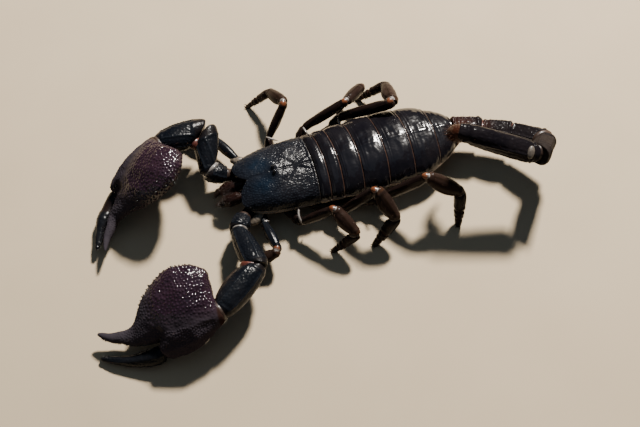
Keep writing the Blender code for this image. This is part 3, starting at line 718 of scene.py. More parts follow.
# %% [markdown]
# ## The underside of the front body
# The bases of the legs are short and stout and press against each other. The solid joins
# them in one body, so a fine even net is drawn over it and softened.

# %% Shape the leg bases
bases = fine_copy("prosoma_underside", "leg_bases", 0, rim=0)
even_net(bases, 0.26, 0.6, 8)
points = points_of(bases)
raise_by(bases, 0.10 * waver(points, 1.4, 6) + 0.06 + 0.03 * waver(points, 0.5, 7))
smooth(bases)
thin(bases, KEPT["bases"])
dress(bases, "leg", "leg", "prosoma_underside")
print("leg bases:", len(points), "points")

# %% [markdown]
# ## Limb segments
# A limb segment is a smooth tube with keels, the ridges that stiffen it, and each keel
# carries a row of granules. Its ends swell into a collar where the joint is. The same rule
# shapes the arms and the tail with their own angles, so it is written once.

# %% Shape a limb segment
def segment(node_name, name, limb, levels, angles, height, width, spacing, grain, rough=0.03, collar=0.12):
    """A tube with keels at these angles, and granules about `grain` apart, or none where it is 0."""
    piece = fine_copy(node_name, name, levels, rim=0.35)
    points = points_of(piece)
    share = limb.measure(points)[0]
    ridge = keels(limb, points, angles, height, width, spacing)
    from_end = np.minimum(share, 1 - share) * limb.length
    rise = ridge + collar * bell(from_end - 0.7, 0.5) - 0.5 * collar * bell(from_end - 1.7, 0.5)
    rise += 0.10 * waver(points, 2.6, limb.length) + rough * waver(points, 0.7, limb.length + 3)
    grains = np.zeros(len(points))
    if grain:
        grains = beads(points, scatter(points, grain, int(limb.length * 100)), 0.3 * grain + 0.05, 5)
        inner = smooth_step(0.05, 0.15, share) * smooth_step(0.97, 0.85, share)
        rise += 0.10 * grains * inner
    raise_by(piece, rise)
    mark(piece, "bead", np.maximum(ridge / max(height, 0.01), 0.6 * grains))
    mark(piece, "rim", smooth_step(0.42, 0.15, from_end) * (0.6 + 0.5 * waver(points, 1.0, 8)))
    thin(piece, KEPT["limb"])
    return piece


def chain(nodes, first, *last):
    """The joints along a row of solids, from the first place to the last, if one is given."""
    middles = [joint(a, b)[0] for a, b in zip(nodes, nodes[1:])]
    return [np.asarray(first)] + middles + [np.asarray(place) for place in last]


def farthest(node_name, place):
    points = solid_points(node_name)
    return points[np.argmax(np.linalg.norm(points - place, axis=1))]


UP = np.array([0.0, 0.0, 1.0])

# %% [markdown]
# ## The claw arms
# The trochanter and femur have sharp granular keels, and the patella is broad and smoother.
# An olive-brown band low on the outer side of each part is a painted reflection of the floor,
# plain on the left arm and faint on the right.

# %% Shape the arms
ARM_PARTS = ("trochanter", "femur", "patella")
ARM_KEELS = ((-50, 50, 130, -130), (-35, 40, 125, -125), (-60, 5, 65, 150))  # degrees from the back
ARM_KEEL_SIZES = ((0.28, 0.45, 1.0), (0.30, 0.40, 1.05), (0.24, 0.40, 1.0))  # height, width, spacing
# Strengths of the painted floor reflection, the olive-brown band low on each arm part.
FLOOR_REFLECTION = {"left": 0.9, "right": 0.12}
ARM_JOINTS = {}
for side, sign in SIDES:
    names = [f"pedipalp_{side}_{part}" for part in ARM_PARTS + ("hand",)]
    root = joint("prosoma_underside", names[0])[0]
    wrist = joint(names[2], names[3])[0]
    stops = chain(names, root, farthest(names[3], wrist))
    ARM_JOINTS[side] = stops
    for number, part in enumerate(ARM_PARTS):
        limb = Limb(stops[number], stops[number + 1], UP)
        ridges = (ARM_KEELS[number], *ARM_KEEL_SIZES[number])
        piece = segment(names[number], f"arm_{side}_{part}", limb, 4, *ridges, grain=0.95, rough=0.05)
        share, angle, _ = limb.measure(points_of(piece))
        # Where around each part the painted floor reflection lies, in degrees from the back, and how wide.
        reflection_at, reflection_width = (78, 26) if part == "patella" else (105, 14)
        reflected_band = bell(turn(angle, reflection_at * sign), reflection_width)
        mark(piece, "tip", FLOOR_REFLECTION[side] * reflected_band * smooth_step(0.05, 0.3, share))
        dress(piece, "arm", "arm", names[number])
        print(piece.name, f"{limb.length:.1f} mm")

# %% [markdown]
# ## The hands
# The hand is swollen, purple-brown and covered all over in round granules, like a bead mat.
# Its inner edge runs out in a lobe armed with short teeth, and the fixed finger grows from
# its end with plain dark keels. The granules are placed by a rule that keeps them a bead's
# width apart, and they fade out along the finger.

# %% Find the hand's own directions
PALM_LENGTH = 20


def hand_axes(side):
    """The wrist, the tip, and the ways to the tip, up through the palm and out to the lobe."""
    name = f"pedipalp_{side}_hand"
    wrist, tip = ARM_JOINTS[side][3], ARM_JOINTS[side][4]
    points = solid_points(name)
    way = unit(tip - wrist)
    palm = points[(points - wrist) @ way < PALM_LENGTH]
    _, _, axes = np.linalg.svd(palm - palm.mean(axis=0))
    through = axes[2] * np.sign(axes[2][2])
    to_finger = plan(f"pedipalp_{side}_finger")[2] - palm.mean(axis=0)
    lobe = np.cross(through, way)
    lobe *= -np.sign(lobe @ to_finger)
    return wrist, tip, way, through, unit(lobe)


# %% Shape a hand
HAND_SKINS = {}


def hand(side):
    name = f"pedipalp_{side}_hand"
    piece = fine_copy(name, f"hand_{side}", 0, rim=0)
    even_net(piece, 0.34, 0.5, 12)
    subdivide(piece, 1)
    smooth(piece)
    wrist, tip, way, through, lobe = hand_axes(side)
    long = np.linalg.norm(tip - wrist)
    points = points_of(piece)
    ahead, aside = (points - wrist) @ way, (points - wrist) @ lobe
    cover = bell(aside + 9.0, 3.6) * smooth_step(13.0, 17.0, ahead) * smooth_step(23.0, 20.0, ahead)
    fuller = smooth_step(0.0, -4.0, aside) * smooth_step(18.0, 23.0, ahead) * smooth_step(35.0, 29.0, ahead)
    put_points(piece, points + np.outer(3.6 * cover, way) - np.outer(1.3 * fuller, lobe))
    points = points_of(piece)
    share = (points - wrist) @ way / long
    aside = (points - wrist) @ lobe
    finger = smooth_step(0.50, 0.66, share)
    outer = smooth_step(4.0, -3.5, aside)
    swell = 0.24 * waver(points, 5.0, 3) + 0.10 * waver(points, 1.8, 4)
    folds = np.sin(2.2 * aside + 1.4 * waver(points, 3.0, 6)) * bell(share - 0.06, 0.10)
    large = scatter(points, 0.98, 31, (share < 0.62) & (aside > -6))
    small = scatter(points, 0.72, 32, (share >= 0.5) | (aside <= -3))
    grains = beads(points, large, 0.45, 33) * (1 - finger) * (1 - 0.8 * outer)
    fine = beads(points, small, 0.33, 34) * np.maximum(finger, outer) * smooth_step(0.95, 0.75, share)
    at_wrist = smooth_step(-0.01, 0.05, share)
    raise_by(piece, 0.15 + swell + 0.07 * folds + at_wrist * (0.19 * grains + 0.14 * fine))
    mark(piece, "bead", 0.8 * np.maximum(grains, fine))
    mark(piece, "tip", np.maximum(smooth_step(0.44, 0.60, share), 0.85 * outer))
    mark(piece, "rim", smooth_step(0.015, 0.0, share))
    normals = normals_of(piece)
    mark(piece, "under", smooth_step(0.15, -0.25, normals[:, 2]))
    HAND_SKINS[side] = (points_of(piece), normals, share)
    thin(piece, KEPT["hand"])
    dress(piece, "hand", "hand", name)
    print(piece.name, len(points), "points,", len(large), "granules")


for side, _ in SIDES:
    hand(side)

# %% The movable fingers
FINGERS = {}
FINGER_KEELS = (-60, 0, 60, 120, -120)
FINGER_SWELL = {"left": 0.3, "right": 0.9}
for side, _ in SIDES:
    name = f"pedipalp_{side}_finger"
    hinge = joint(f"pedipalp_{side}_hand", name, 0.8)[0]
    limb = Limb(hinge, farthest(name, hinge), hand_axes(side)[3])
    piece = segment(name, f"movable_finger_{side}", limb, 4, FINGER_KEELS, 0.22, 0.38, 0.8, grain=0.95)
    share = limb.measure(points_of(piece))[0]
    raise_by(piece, FINGER_SWELL[side] * bell(share - 0.22, 0.26))
    FINGERS[side] = dress(piece, "finger", "finger", name)
    print(piece.name, f"{limb.length:.1f} mm")

# %% [markdown]
# ## The legs
# Each leg has a long femur, a broad patella and a foot made of three short parts. The foot
# solid is one tapering body, so its finer copy is drawn in at two places to show the parts.

# %% Shape the legs
LEGS = [(side, number) for side, _ in SIDES for number in range(1, 5)]
LEG_JOINTS = {}
LEG_BEND = 4.3  # from the hip to the bend in the femur, where its crescent of skin shows
STOUTER = {("left", 2): 0.10, ("left", 3): 0.22, ("left", 4): 0.22}
THIGH_KEELS, KNEE_KEELS = (-28, 28, 150, -150), (0, 95, -95)
FOOT_WAISTS = (0.50, 0.76)  # shares of the foot's length
FOOT_SWELLS = ((0.43, 0.05, 0.10), (0.57, 0.05, 0.12), (0.70, 0.04, 0.10))  # place, width, height
for side, number in LEGS:
    leg = f"leg_{side}_{number}_"
    names = [leg + part for part in ("femur", "patella", "foot")]
    hip = joint("prosoma_underside", names[0])[0]
    sole = solid_points(names[2])
    sole = sole[sole[:, 2] < 0.05].mean(axis=0)
    stops = chain(names, hip, sole)
    LEG_JOINTS[side, number] = stops
    stout = STOUTER.get((side, number), 0.0)

    limb = Limb(stops[0], stops[1], UP)
    piece = segment(names[0], leg + "thigh", limb, 3, THIGH_KEELS, 0.13, 0.3, 0.55, grain=0)
    share = limb.measure(points_of(piece))[0]
    thick = 0.42 * bell(share - 0.62, 0.24) if number == 1 else 0.0
    raise_by(piece, thick - 0.34 * bell(share * limb.length - LEG_BEND, 0.45))
    dress(piece, "arm" if number == 1 else "leg", "leg", names[0])

    limb = Limb(stops[1], stops[2], UP)
    piece = segment(names[1], leg + "knee", limb, 3, KNEE_KEELS, 0.10, 0.35, 0.6, grain=0)
    share = limb.measure(points_of(piece))[0]
    raise_by(piece, stout * bell(share - 0.5, 0.36))
    dress(piece, "knee", "leg", names[1])

    limb = Limb(stops[2], stops[3], UP)
    piece = fine_copy(names[2], leg + "shin", 3, rim=0.2)
    points = points_of(piece)
    share = limb.measure(points)[0]
    first, second = FOOT_WAISTS
    waist = 0.24 * bell(share - first, 0.035) + 0.24 * bell(share - second, 0.03)
    swell = 0.6 * stout
    for place, width, height in FOOT_SWELLS:
        swell = swell + height * bell(share - place, width)
    onto_axis = limb.start + np.outer(share * limb.length, limb.way)
    above = smooth_step(0.0, 0.6, points[:, 2])[:, None]
    points = onto_axis + (points - onto_axis) * (1 + (swell - waist)[:, None] * above)
    put_points(piece, points)
    raise_by(piece, 0.04 * waver(points, 0.9, number) * above[:, 0])
    mark(piece, "rim", 0.8 * bell(share - first, 0.03) + 0.8 * bell(share - second, 0.025))
    thin(piece, KEPT["limb"])
    dress(piece, "leg", "leg", names[2])
print("legs:", len(LEGS))

# %% [markdown]
# ## The tail
# Five segments carry the sting. Each is boxy in section, with keels along its corners and
# sides, and a row of granules on each keel. The back of each turns over as the tail curls.

# %% Shape the tail
TAIL_NAMES = [f"tail_segment_{number}" for number in range(1, 6)]
root = joint("trunk", TAIL_NAMES[0])[0]
tail_stops = chain(TAIL_NAMES + ["telson"], root)
TAIL_BACKS = (UP, UP, UP, np.array([0.5, 0.1, 0.3]), np.array([-0.1, 0.25, 1.0]))
TAIL_KEELS = [(-38, 38, 85, -85, 140, -140)] * 4 + [(-42, 42, 88, -88, 128, -128, 180)]
for number, name in enumerate(TAIL_NAMES):
    limb = Limb(tail_stops[number], tail_stops[number + 1], TAIL_BACKS[number])
    ridges = (TAIL_KEELS[number], 0.38, 0.5, 1.05)
    piece = segment(name, f"tail_part_{number + 1}", limb, 4, *ridges, grain=1.5, rough=0.05, collar=0.3)
    points = points_of(piece)
    share, angle, _ = limb.measure(points)
    mark(piece, "under", smooth_step(0.45, 0.0, normals_of(piece)[:, 2]))
    if number in (1, 2):
        mark(piece, "tip", 0.2 * np.ones(len(points)))
    # On the fourth part the tip colour is a painted sheen: the grey-brown of its broad lit face.
    if number == 3:
        mark(piece, "tip", (0.95 - 0.3 * waver(points, 1.5, 46)) * smooth_step(0.0, 0.2, share))
        put_points(piece, points + np.outer(0.5 * smooth_step(0.80, 1.1, share), limb.way))
    if number == 4:
        drawn_in = 1.5 * smooth_step(0.20, -0.086, share)
        drawn_in = drawn_in + 1.0 * bell(share, 0.10) * smooth_step(20, 75, angle)
        put_points(piece, points + np.outer(2.3 * smooth_step(0.80, 1.0, share) + drawn_in, limb.way))
    if number > 1:
        mark(piece, "rim", np.zeros(len(points)))
    if number < 2:
        top = bell(angle, 55) * smooth_step(1.05, 0.3, share + 0.5 * number)
        mark(piece, "rim", np.clip(0.9 * top * (0.8 + 0.4 * waver(points, 1.2, 47)), 0, 1))
    dress(piece, "tail", "tail", name)
    print(piece.name, f"{limb.length:.1f} mm")

# %% The sting
joint_5 = tail_stops[5]
tip = farthest("telson", joint_5)
bulb = fine_copy("telson", "sting", 4, rim=0.2)
points = points_of(bulb)
down = np.linalg.norm(points - joint_5, axis=1) / np.linalg.norm(tip - joint_5)
body = smooth_step(0.80, 0.55, down)
grains = beads(points, scatter(points, 1.0, 41), 0.34, 42)
raise_by(bulb, body * (0.14 * waver(points, 2.0, 43) + 0.12 * grains))
mark(bulb, "bead", grains * body)
mark(bulb, "rim", smooth_step(0.66, 0.9, down))
thin(bulb, KEPT["sting"])
dress(bulb, "telson", "telson", "telson")

# %% Mouth claws and eyes
for side, _ in SIDES:
    claw = fine_copy("chelicera_" + side, "mouth_claw_" + side, 0, rim=0)
    even_net(claw, 0.13, 0.5, 4)
    points = points_of(claw)
    high = plan("chelicera_" + side)[1]
    grains = beads(points, scatter(points, 0.55, 52), 0.24, 53)
    raise_by(claw, 0.12 + 0.08 * waver(points, 0.9, 51) + 0.08 * grains)
    mark(claw, "bead", 0.7 * grains)
    mark(claw, "rim", smooth_step(high[0] - 3.4, high[0] - 1.2, points[:, 0]))
    smooth(claw)
    dress(claw, "chelicera", "chelicera", "chelicera_" + side)
    eye = fine_copy("eye_" + side, "median_eye_" + side, 2, rim=0)
    dress(eye, "eye", "eye", "eye_" + side)
    comb = fine_copy("pectine_" + side, "comb_" + side, 3, rim=0.1)
    dress(comb, "pectine", "pectine", "pectine_" + side)
print("sting, mouth claws, eyes and combs done")

# %% [markdown]
# ## Small shapes, made once and copied
# Teeth, hooks and bristles are all little horns. One horn is grown from a circle, ring by
# ring, as by hand: extrude, move, shrink. A skin fold starts as a ball. Each is then copied
# to its places in one joined mesh, because hundreds of separate objects would be slow.

# %% Grow a small horn
def shape_of(piece):
    """Takes a small model's corners and faces, in millimetres, and puts the model away."""
    corners = points_of(piece)
    faces = [tuple(face.vertices) for face in piece.data.polygons]
    bpy.data.objects.remove(piece, do_unlink=True)
    return corners, faces


def horn(sides, rings):
    """Each ring is its height, its radius and how far it leans."""
    bpy.ops.object.select_all(action="DESELECT")
    height, radius, lean = rings[0]
    bpy.ops.mesh.primitive_circle_add(vertices=sides, radius=radius * MM, fill_type="NGON")
    piece = bpy.context.object
    open_edit(piece, "FACE")
    for next_height, next_radius, next_lean in rings[1:]:
        step = (0, (next_lean - lean) * MM, (next_height - height) * MM)
        bpy.ops.mesh.extrude_region_move(TRANSFORM_OT_translate={"value": step})
        size = next_radius / radius
        bpy.ops.transform.resize(value=(size, size, 1), center_override=(0, next_lean * MM, next_height * MM))
        height, radius, lean = next_height, next_radius, next_lean
    bpy.ops.mesh.select_all(action="SELECT")
    bpy.ops.mesh.normals_make_consistent(inside=False)
    close_edit()
    return shape_of(piece)


def ball(sides, rings):
    bpy.ops.object.select_all(action="DESELECT")
    bpy.ops.mesh.primitive_uv_sphere_add(segments=sides, ring_count=rings, radius=MM)
    return shape_of(bpy.context.object)


TOOTH = horn(7, ((0, 1.0, 0), (0.35, 0.85, 0.02), (0.72, 0.5, 0.08), (0.95, 0.2, 0.16), (1.0, 0.06, 0.19)))
HOOK = horn(7, (
    (0, 1, 0), (0.25, 0.95, 0.2), (0.5, 0.8, 0.6), (0.72, 0.6, 1.25), (0.9, 0.32, 2.1), (1.0, 0.07, 2.8)
))
BRISTLE = horn(4, ((0, 1.0, 0), (0.4, 0.75, 0.6), (0.75, 0.45, 2.2), (1.0, 0.12, 4.4)))
print("tooth, hook and bristle:", len(TOOTH[1]), len(HOOK[1]), len(BRISTLE[1]), "faces")


# %% Copy a small shape to its places
ROOT_PATCH = 0.003  # how wide one bristle is on the second map
SUNK = 0.08  # how far a root stands below the surface


def stamp(name, shape, places, roots=None, **marks):
    """Each place is a foot, the way the shape points, what it leans to, and its three sizes."""
    corners, faces = shape
    everything, all_faces = [], []
    for number, (foot, way, lean, wide, deep, long) in enumerate(places):
        way = np.asarray(way, float) / np.linalg.norm(way)
        side = unit(np.cross(lean, way))
        other = np.cross(way, side)
        sized = corners * (wide, deep, long)
        everything.append(np.asarray(foot) + sized @ np.array([side, other, way]))
        all_faces += [tuple(corner + number * len(corners) for corner in face) for face in faces]
    mesh = bpy.data.meshes.new(name)
    mesh.from_pydata((np.concatenate(everything) * MM).tolist(), [], all_faces)
    piece = bpy.data.objects.new(name, mesh)
    bpy.context.scene.collection.objects.link(piece)
    for attribute, values in marks.items():
        mark(piece, attribute, np.tile(values, len(places)))
    if roots is not None:
        owner = np.empty(len(mesh.loops), np.int64)
        mesh.loops.foreach_get("vertex_index", owner)
        flat = corners[:, [0, 2]]
        flat = (flat - flat.min(axis=0)) / np.ptp(flat, axis=0)
        sheet = np.asarray(roots)[owner // len(corners)] + ROOT_PATCH * flat[owner % len(corners)]
        layer = mesh.uv_layers.new(name="OFBake")
        layer.data.foreach_set("uv", sheet.astype(np.float32).ravel())
    return smooth(piece)


# %% [markdown]
# ## The teeth of the hands
# The lobe's edge carries a row of blunt teeth, which breaks its outline from any side. Both
# fingers have a finer row where they close on each other, with a larger tooth here and there.

# %% Teeth on the lobes and the fingers
def closing_teeth(points, normals, keep, way, seed, rng):
    """A fine row of teeth along a finger, with a larger one at every sixth place."""
    row = []
    for number, index in enumerate(scatter(points, 0.62, seed, keep)):
        size = 1.5 if number % 6 == 0 else rng.uniform(0.7, 1.0)
        foot = points[index] - 0.1 * normals[index]
        row.append((foot, normals[index], way, 0.22 * size, 0.24 * size, 0.42 * size))
    return row


for side, _ in SIDES:
    wrist, _, way, through, lobe = hand_axes(side)
    points, normals, share = HAND_SKINS[side]
    to_lobe, flat = normals @ lobe, np.abs(normals @ through)
    rng = random.Random(61)
    edge = (flat < 0.22) & (to_lobe > 0.45) & (share > 0.10) & (share < 0.62)
    places = []
    for index in scatter(points, 1.35, 62, edge):
        near_wrist = 0.55 + 0.45 * float(smooth_step(0.12, 0.3, share[index]))
        size = rng.uniform(0.75, 1.15) * near_wrist
        foot, points_to = points[index] - 0.2 * normals[index], normals[index] + 0.3 * way
        places.append((foot, points_to, way, 0.36 * size, 0.42 * size, 0.80 * size))
    inner = (flat < 0.35) & (to_lobe < -0.5) & (share > 0.58) & (share < 0.97)
    places += closing_teeth(points, normals, inner, way, 64, rng)
    points, normals = points_of(FINGERS[side]), normals_of(FINGERS[side])
    facing = (normals @ lobe > 0.6) & (np.abs(normals @ through) < 0.4) & ((points - wrist) @ way > 26)
    places += closing_teeth(points, normals, facing, way, 65, rng)
    dress(stamp(f"hand_teeth_{side}", TOOTH, places), "tooth", "hand")
    print("teeth on the", side, "hand:", len(places))

# %% [markdown]
# ## Skin at the joints
# Where two lengths of shell meet, soft folded skin shows: red-brown at the elbows and the
# first three joints of the tail, pale inside the shoulders, and brown at the wrists, the legs
# and the rest. Each is a folded ball between the two ends, a little smaller than they are.

# %% Measure a joint and fold a skin
def joint_place(first, second, fit=0.93, long=1.5):
    """A place for a folded ball that fills the joint between two solids."""
    middle, radius, way = joint(first, second)
    a, b = solid_points(first), solid_points(second)
    ring = np.concatenate([a, b])
    ring = ring[np.linalg.norm(ring - middle, axis=1) < 1.5 * radius]
    side = unit(np.cross(UP, way))
    other = np.cross(way, side)
    close = np.abs((ring - middle) @ way) < 0.8
    wide = np.abs((ring[close] - middle) @ side).max()
    deep = np.abs((ring[close] - middle) @ other).max()
    return middle, way, other, fit * wide, fit * deep, long


corners, faces = ball(22, 16)
waves = np.cos(corners[:, 2] * 14)
FOLDED = (corners * (1 + 0.035 * waves[:, None]), faces)
# `folds` is how deep in a fold's valley each point lies; the skins paint it darker, as painted shade in the
# creases.
folds = 0.5 - 0.5 * waves


def inside_bend(place, stops, number, by, size):
    """Moves a joint's skin towards the inside of the bend, where it bulges out."""
    middle, way, other, wide, deep, long = place
    before, here, after = stops[number - 1:number + 2]
    inward = unit(unit(before - here) + unit(after - here))
    return middle + by * inward, way, other, wide * size, deep * size, long


red, brown, pale = [], [], []
for side, _ in SIDES:
    arm = f"pedipalp_{side}_"
    brown.append(joint_place("prosoma_underside", arm + "trochanter", 0.9, 2.2))
    troch = joint_place(arm + "trochanter", arm + "femur", 0.95, 1.4)
    pale.append(inside_bend(troch, ARM_JOINTS[side], 1, 0.5, 0.97))
    elbow = joint_place(arm + "femur", arm + "patella", 0.97, 2.3)
    red.append(inside_bend(elbow, ARM_JOINTS[side], 2, 0.9, 0.86))
    brown.append(joint_place(arm + "patella", arm + "hand", 0.95, 1.7))
for side, number in LEGS:
    leg = f"leg_{side}_{number}_"
    brown.append(joint_place("prosoma_underside", leg + "femur", 0.9, 1.6))
    brown.append(joint_place(leg + "femur", leg + "patella", 0.86, 1.3))
    brown.append(joint_place(leg + "patella", leg + "foot", 0.9, 1.1))
tail_row = ["trunk"] + TAIL_NAMES + ["telson"]
for number, fit in enumerate((0.93, 0.93, 0.93, 0.93, 0.7, 0.8)):
    skins = red if number < 3 else brown
    skins.append(joint_place(tail_row[number], tail_row[number + 1], fit, 1.6))
# Each skin's creases are painted darker: painted shade.
dress(stamp("joint_skin_brown", FOLDED, brown, rim=0.7 * folds), "brown_skin", "flesh")
dress(stamp("joint_skin_red", FOLDED, red, rim=0.7 * folds), "red_skin", "flesh")
dress(stamp("joint_skin_pale", FOLDED, pale, tip=0.4 * folds), "pale_skin", "flesh")
print("joint skins:", len(brown) + len(red) + len(pale))

# %% [markdown]
# On top of each knee sits the ball of the joint: an orange-brown knob at the end of the
# femur and a grey-white skin where the patella begins, with a dark groove between. Nearer
# the body a grey-white crescent of skin shows over the short first length of most legs.

# %% Knee knobs and crescents
NO_CRESCENT = (("right", 1), ("left", 3))
NEAR_SIDE = ("left", 2)  # its crescent leans outwards and is larger
corners, faces = ball(16, 12)
height = corners[:, 2]
knobs, crescents = [], []
for side, number in LEGS:
    leg = f"leg_{side}_{number}_"
    middle, way, other, _, deep, _ = joint_place(leg + "femur", leg + "patella")
    foot = middle + other * (deep - 0.75) - way * 0.1
    knobs.append((foot, way, other, 1.25, 1.05, 1.75))
    stops = LEG_JOINTS[side, number]
    limb = Limb(stops[0], stops[1], UP)
    share, _, out = limb.measure(points_of(bpy.data.objects[leg + "thigh"]))
    radius = out[np.abs(share * limb.length - LEG_BEND) < 0.5].max()
    if (side, number) in NO_CRESCENT:
        continue
    size, lean = 0.73, limb.back
    if (side, number) == NEAR_SIDE:
        size, lean = 0.84, 0.3 * limb.back + 0.95 * np.cross(limb.way, limb.back)
    foot = limb.start + limb.way * LEG_BEND
    crescents.append((foot, limb.way, lean, radius * size, radius * size, 3.0 * size))
groove = bell(height - 0.22, 0.09)
orange = smooth_step(0.20, 0.10, height)
knob_shape = (corners * (1 - 0.16 * groove[:, None]), faces)
dress(stamp("knee_knobs", knob_shape, knobs, rim=orange, tip=groove), "pale_skin", "flesh")

bpy.ops.object.select_all(action="DESELECT")
bpy.ops.mesh.primitive_torus_add(
    major_segments=28, minor_segments=8, major_radius=MM, minor_radius=0.17 * MM, location=(0, 0, 0)
)
band = bpy.context.object
open_edit(band)
bpy.ops.mesh.bisect(plane_co=(0, 0.25 * MM, 0), plane_no=(0, -1, 0), clear_outer=True, use_fill=True)
close_edit()
corners, faces = shape_of(band)
taper = np.clip(1.15 * (corners[:, 1] - 0.1), 0.25, 1)
corners[:, 2] *= taper
dress(stamp("leg_crescents", (corners, faces), crescents), "pale_skin", "flesh")
print("knobs and crescents:", len(knobs), len(crescents))

# %% [markdown]
# ## The head
# Under the notch of the shield the two mouth claws show, thick and red-brown, each with a
# fixed and a moving finger and a mat of stiff bristles on its inner side. At each front
# corner of the shield sit three tiny side eyes. They are placed on the shield's own surface.

# %% Find a spot on a surface
SHIELD_POINTS, SHIELD_NORMALS = points_of(shield), normals_of(shield)
SHIELD_LOW, _, SHIELD_MIDDLE = plan("carapace")
SIDE_EYES = ((24.0, 0.40), (23.1, 0.40), (22.2, 0.34))  # ahead of the rear edge, radius


def on_shield(ahead, aside, sign):
    """The nearest point of the shield to a place on its plan, and the way it faces."""
    spot = np.array([SHIELD_LOW[0] + ahead, SHIELD_MIDDLE[1] + sign * aside])
    away_by = np.hypot(*(SHIELD_POINTS[:, :2] - spot).T) + 2.0 * (SHIELD_NORMALS[:, 2] < 0.1)
    index = int(np.argmin(away_by))
    return SHIELD_POINTS[index], SHIELD_NORMALS[index]


def half_width(ahead):
    row = np.abs(SHIELD_POINTS[:, 0] - SHIELD_LOW[0] - ahead) < 0.4
    return np.abs(SHIELD_POINTS[row, 1] - SHIELD_MIDDLE[1]).max()


# %% Side eyes
beads_of_glass = []
for side, sign in SIDES:
    for ahead, size in SIDE_EYES:
        point, normal = on_shield(ahead, half_width(ahead) - 0.75, sign)
        beads_of_glass.append((point - SUNK * normal, normal, (1, 0, 0), size, size, 0.8 * size))
dress(stamp("side_eyes", ball(12, 8), beads_of_glass), "eye", "eye")
print("side eyes:", len(beads_of_glass))

# %% Fingers and teeth of the mouth claws
mouth_fingers, mouth_teeth = [], []
for side, sign in SIDES:
    low, high, middle = plan("chelicera_" + side)
    outer = high[1] if sign > 0 else low[1]
    root = np.array([high[0] - 4.2, outer - sign * 1.0, middle[2] - 0.4])
    mouth_fingers.append((root, (1.0, -0.10 * sign, -0.35), (0, -sign, -0.25), 0.62, 0.62, 3.6))
    inner_root = np.array([high[0] - 3.6, middle[1] - sign * 0.75, middle[2] + 0.6])
    mouth_fingers.append((inner_root, (1.0, 0.10 * sign, -0.42), (0, sign, -0.3), 0.55, 0.6, 2.9))
    for step in range(4):
        foot = inner_root + np.array([0.5 + 0.55 * step, sign * 0.30, -0.2 - 0.24 * step])
        mouth_teeth.append((foot, (0.3, sign, -0.2), (1, 0, 0), 0.24, 0.24, 0.55))
dark_ends = smooth_step(0.3, 0.8, HOOK[0][:, 2])
dress(stamp("mouth_fingers", HOOK, mouth_fingers, rim=dark_ends), "chelicera", "chelicera")
dress(stamp("mouth_teeth", TOOTH, mouth_teeth), "tooth", "chelicera")

# %% [markdown]
# ## Bristles
# Stiff bristles stand on the mouth claws, the feet and the poison bulb, and a few fine ones
# all over the limbs. Each is a thin curved horn. Each keeps a small patch of a second map at
# its root's place on the limb, unrolled, so that its colour can be baked.

# %% Plant bristles on a piece
BRISTLE_BLOCKS = 12  # the second map is divided into this many strips, one for each limb


def between(start, end, above=-np.inf, below=np.inf):
    """A rule that holds between two shares of a limb's length, and between two heights."""
    def holds(points, normals, share, angle):
        height = points[:, 2]
        return (share > start) & (share < end) & (height > above) & (height < below)
    return holds


def plant(places, roots, piece, limb, block, spacing, seed, long, thick, where, lean_to, stand):
    """Adds bristles where `where` holds, standing between the surface's normal and `lean_to`."""
    points, normals = points_of(piece), normals_of(piece)
    share, angle, _ = limb.measure(points)
    rng = random.Random(seed)
    for index in scatter(points, spacing, seed, where(points, normals, share, angle)):
        way = stand * normals[index] + (1 - stand) * np.asarray(lean_to, float)
        way = way + np.array([rng.uniform(-0.25, 0.25) for _ in range(3)])
        size = rng.uniform(*long)
        foot = points[index] - SUNK * normals[index]
        places.append((foot, way, np.asarray(lean_to, float) + 0.01, thick, thick, size))
        across = (block + 0.02 + 0.9 * (angle[index] + 180) / 360) / BRISTLE_BLOCKS
        roots.append((across, 0.02 + 0.9 * min(max(share[index], 0.0), 1.0)))


# %% Bristles on the mouth claws
places, roots = [], []
for block, (side, sign) in enumerate(SIDES):
    piece = bpy.data.objects["mouth_claw_" + side]
    low, high, middle = plan("chelicera_" + side)
    limb = Limb((low[0], middle[1], middle[2]), (high[0], middle[1], middle[2]), UP)

    def inside(points, normals, share, angle):
        inwards = -sign * normals[:, 1] > -0.1
        return (share > 0.45) & (normals[:, 0] > -0.2) & inwards & (normals[:, 2] < 0.8)

    def above(points, normals, share, angle):
        return (share > 0.25) & (normals[:, 2] > 0.5)

    plant(places, roots, piece, limb, block, 0.26, 71, (0.8, 1.9), 0.045, inside, (0.9, 0, -0.5), 0.5)
    plant(places, roots, piece, limb, block, 0.60, 72, (0.6, 1.3), 0.040, above, (0.9, 0, 0.1), 0.45)
dress(stamp("mouth_bristles", BRISTLE, places, roots), "dark_bristle", "chelicera")
print("mouth bristles:", len(places))

# %% Bristles on the poison bulb
places, roots = [], []
bulb_limb = Limb(joint_5, tip, UP)
hairy = between(0.02, 0.80)
plant(places, roots, bulb, bulb_limb, 0, 0.80, 73, (0.8, 2.1), 0.036, hairy, bulb_limb.way, 0.72)
dress(stamp("sting_bristles", BRISTLE, places, roots), "bristle", "telson")
print("bulb bristles:", len(places))

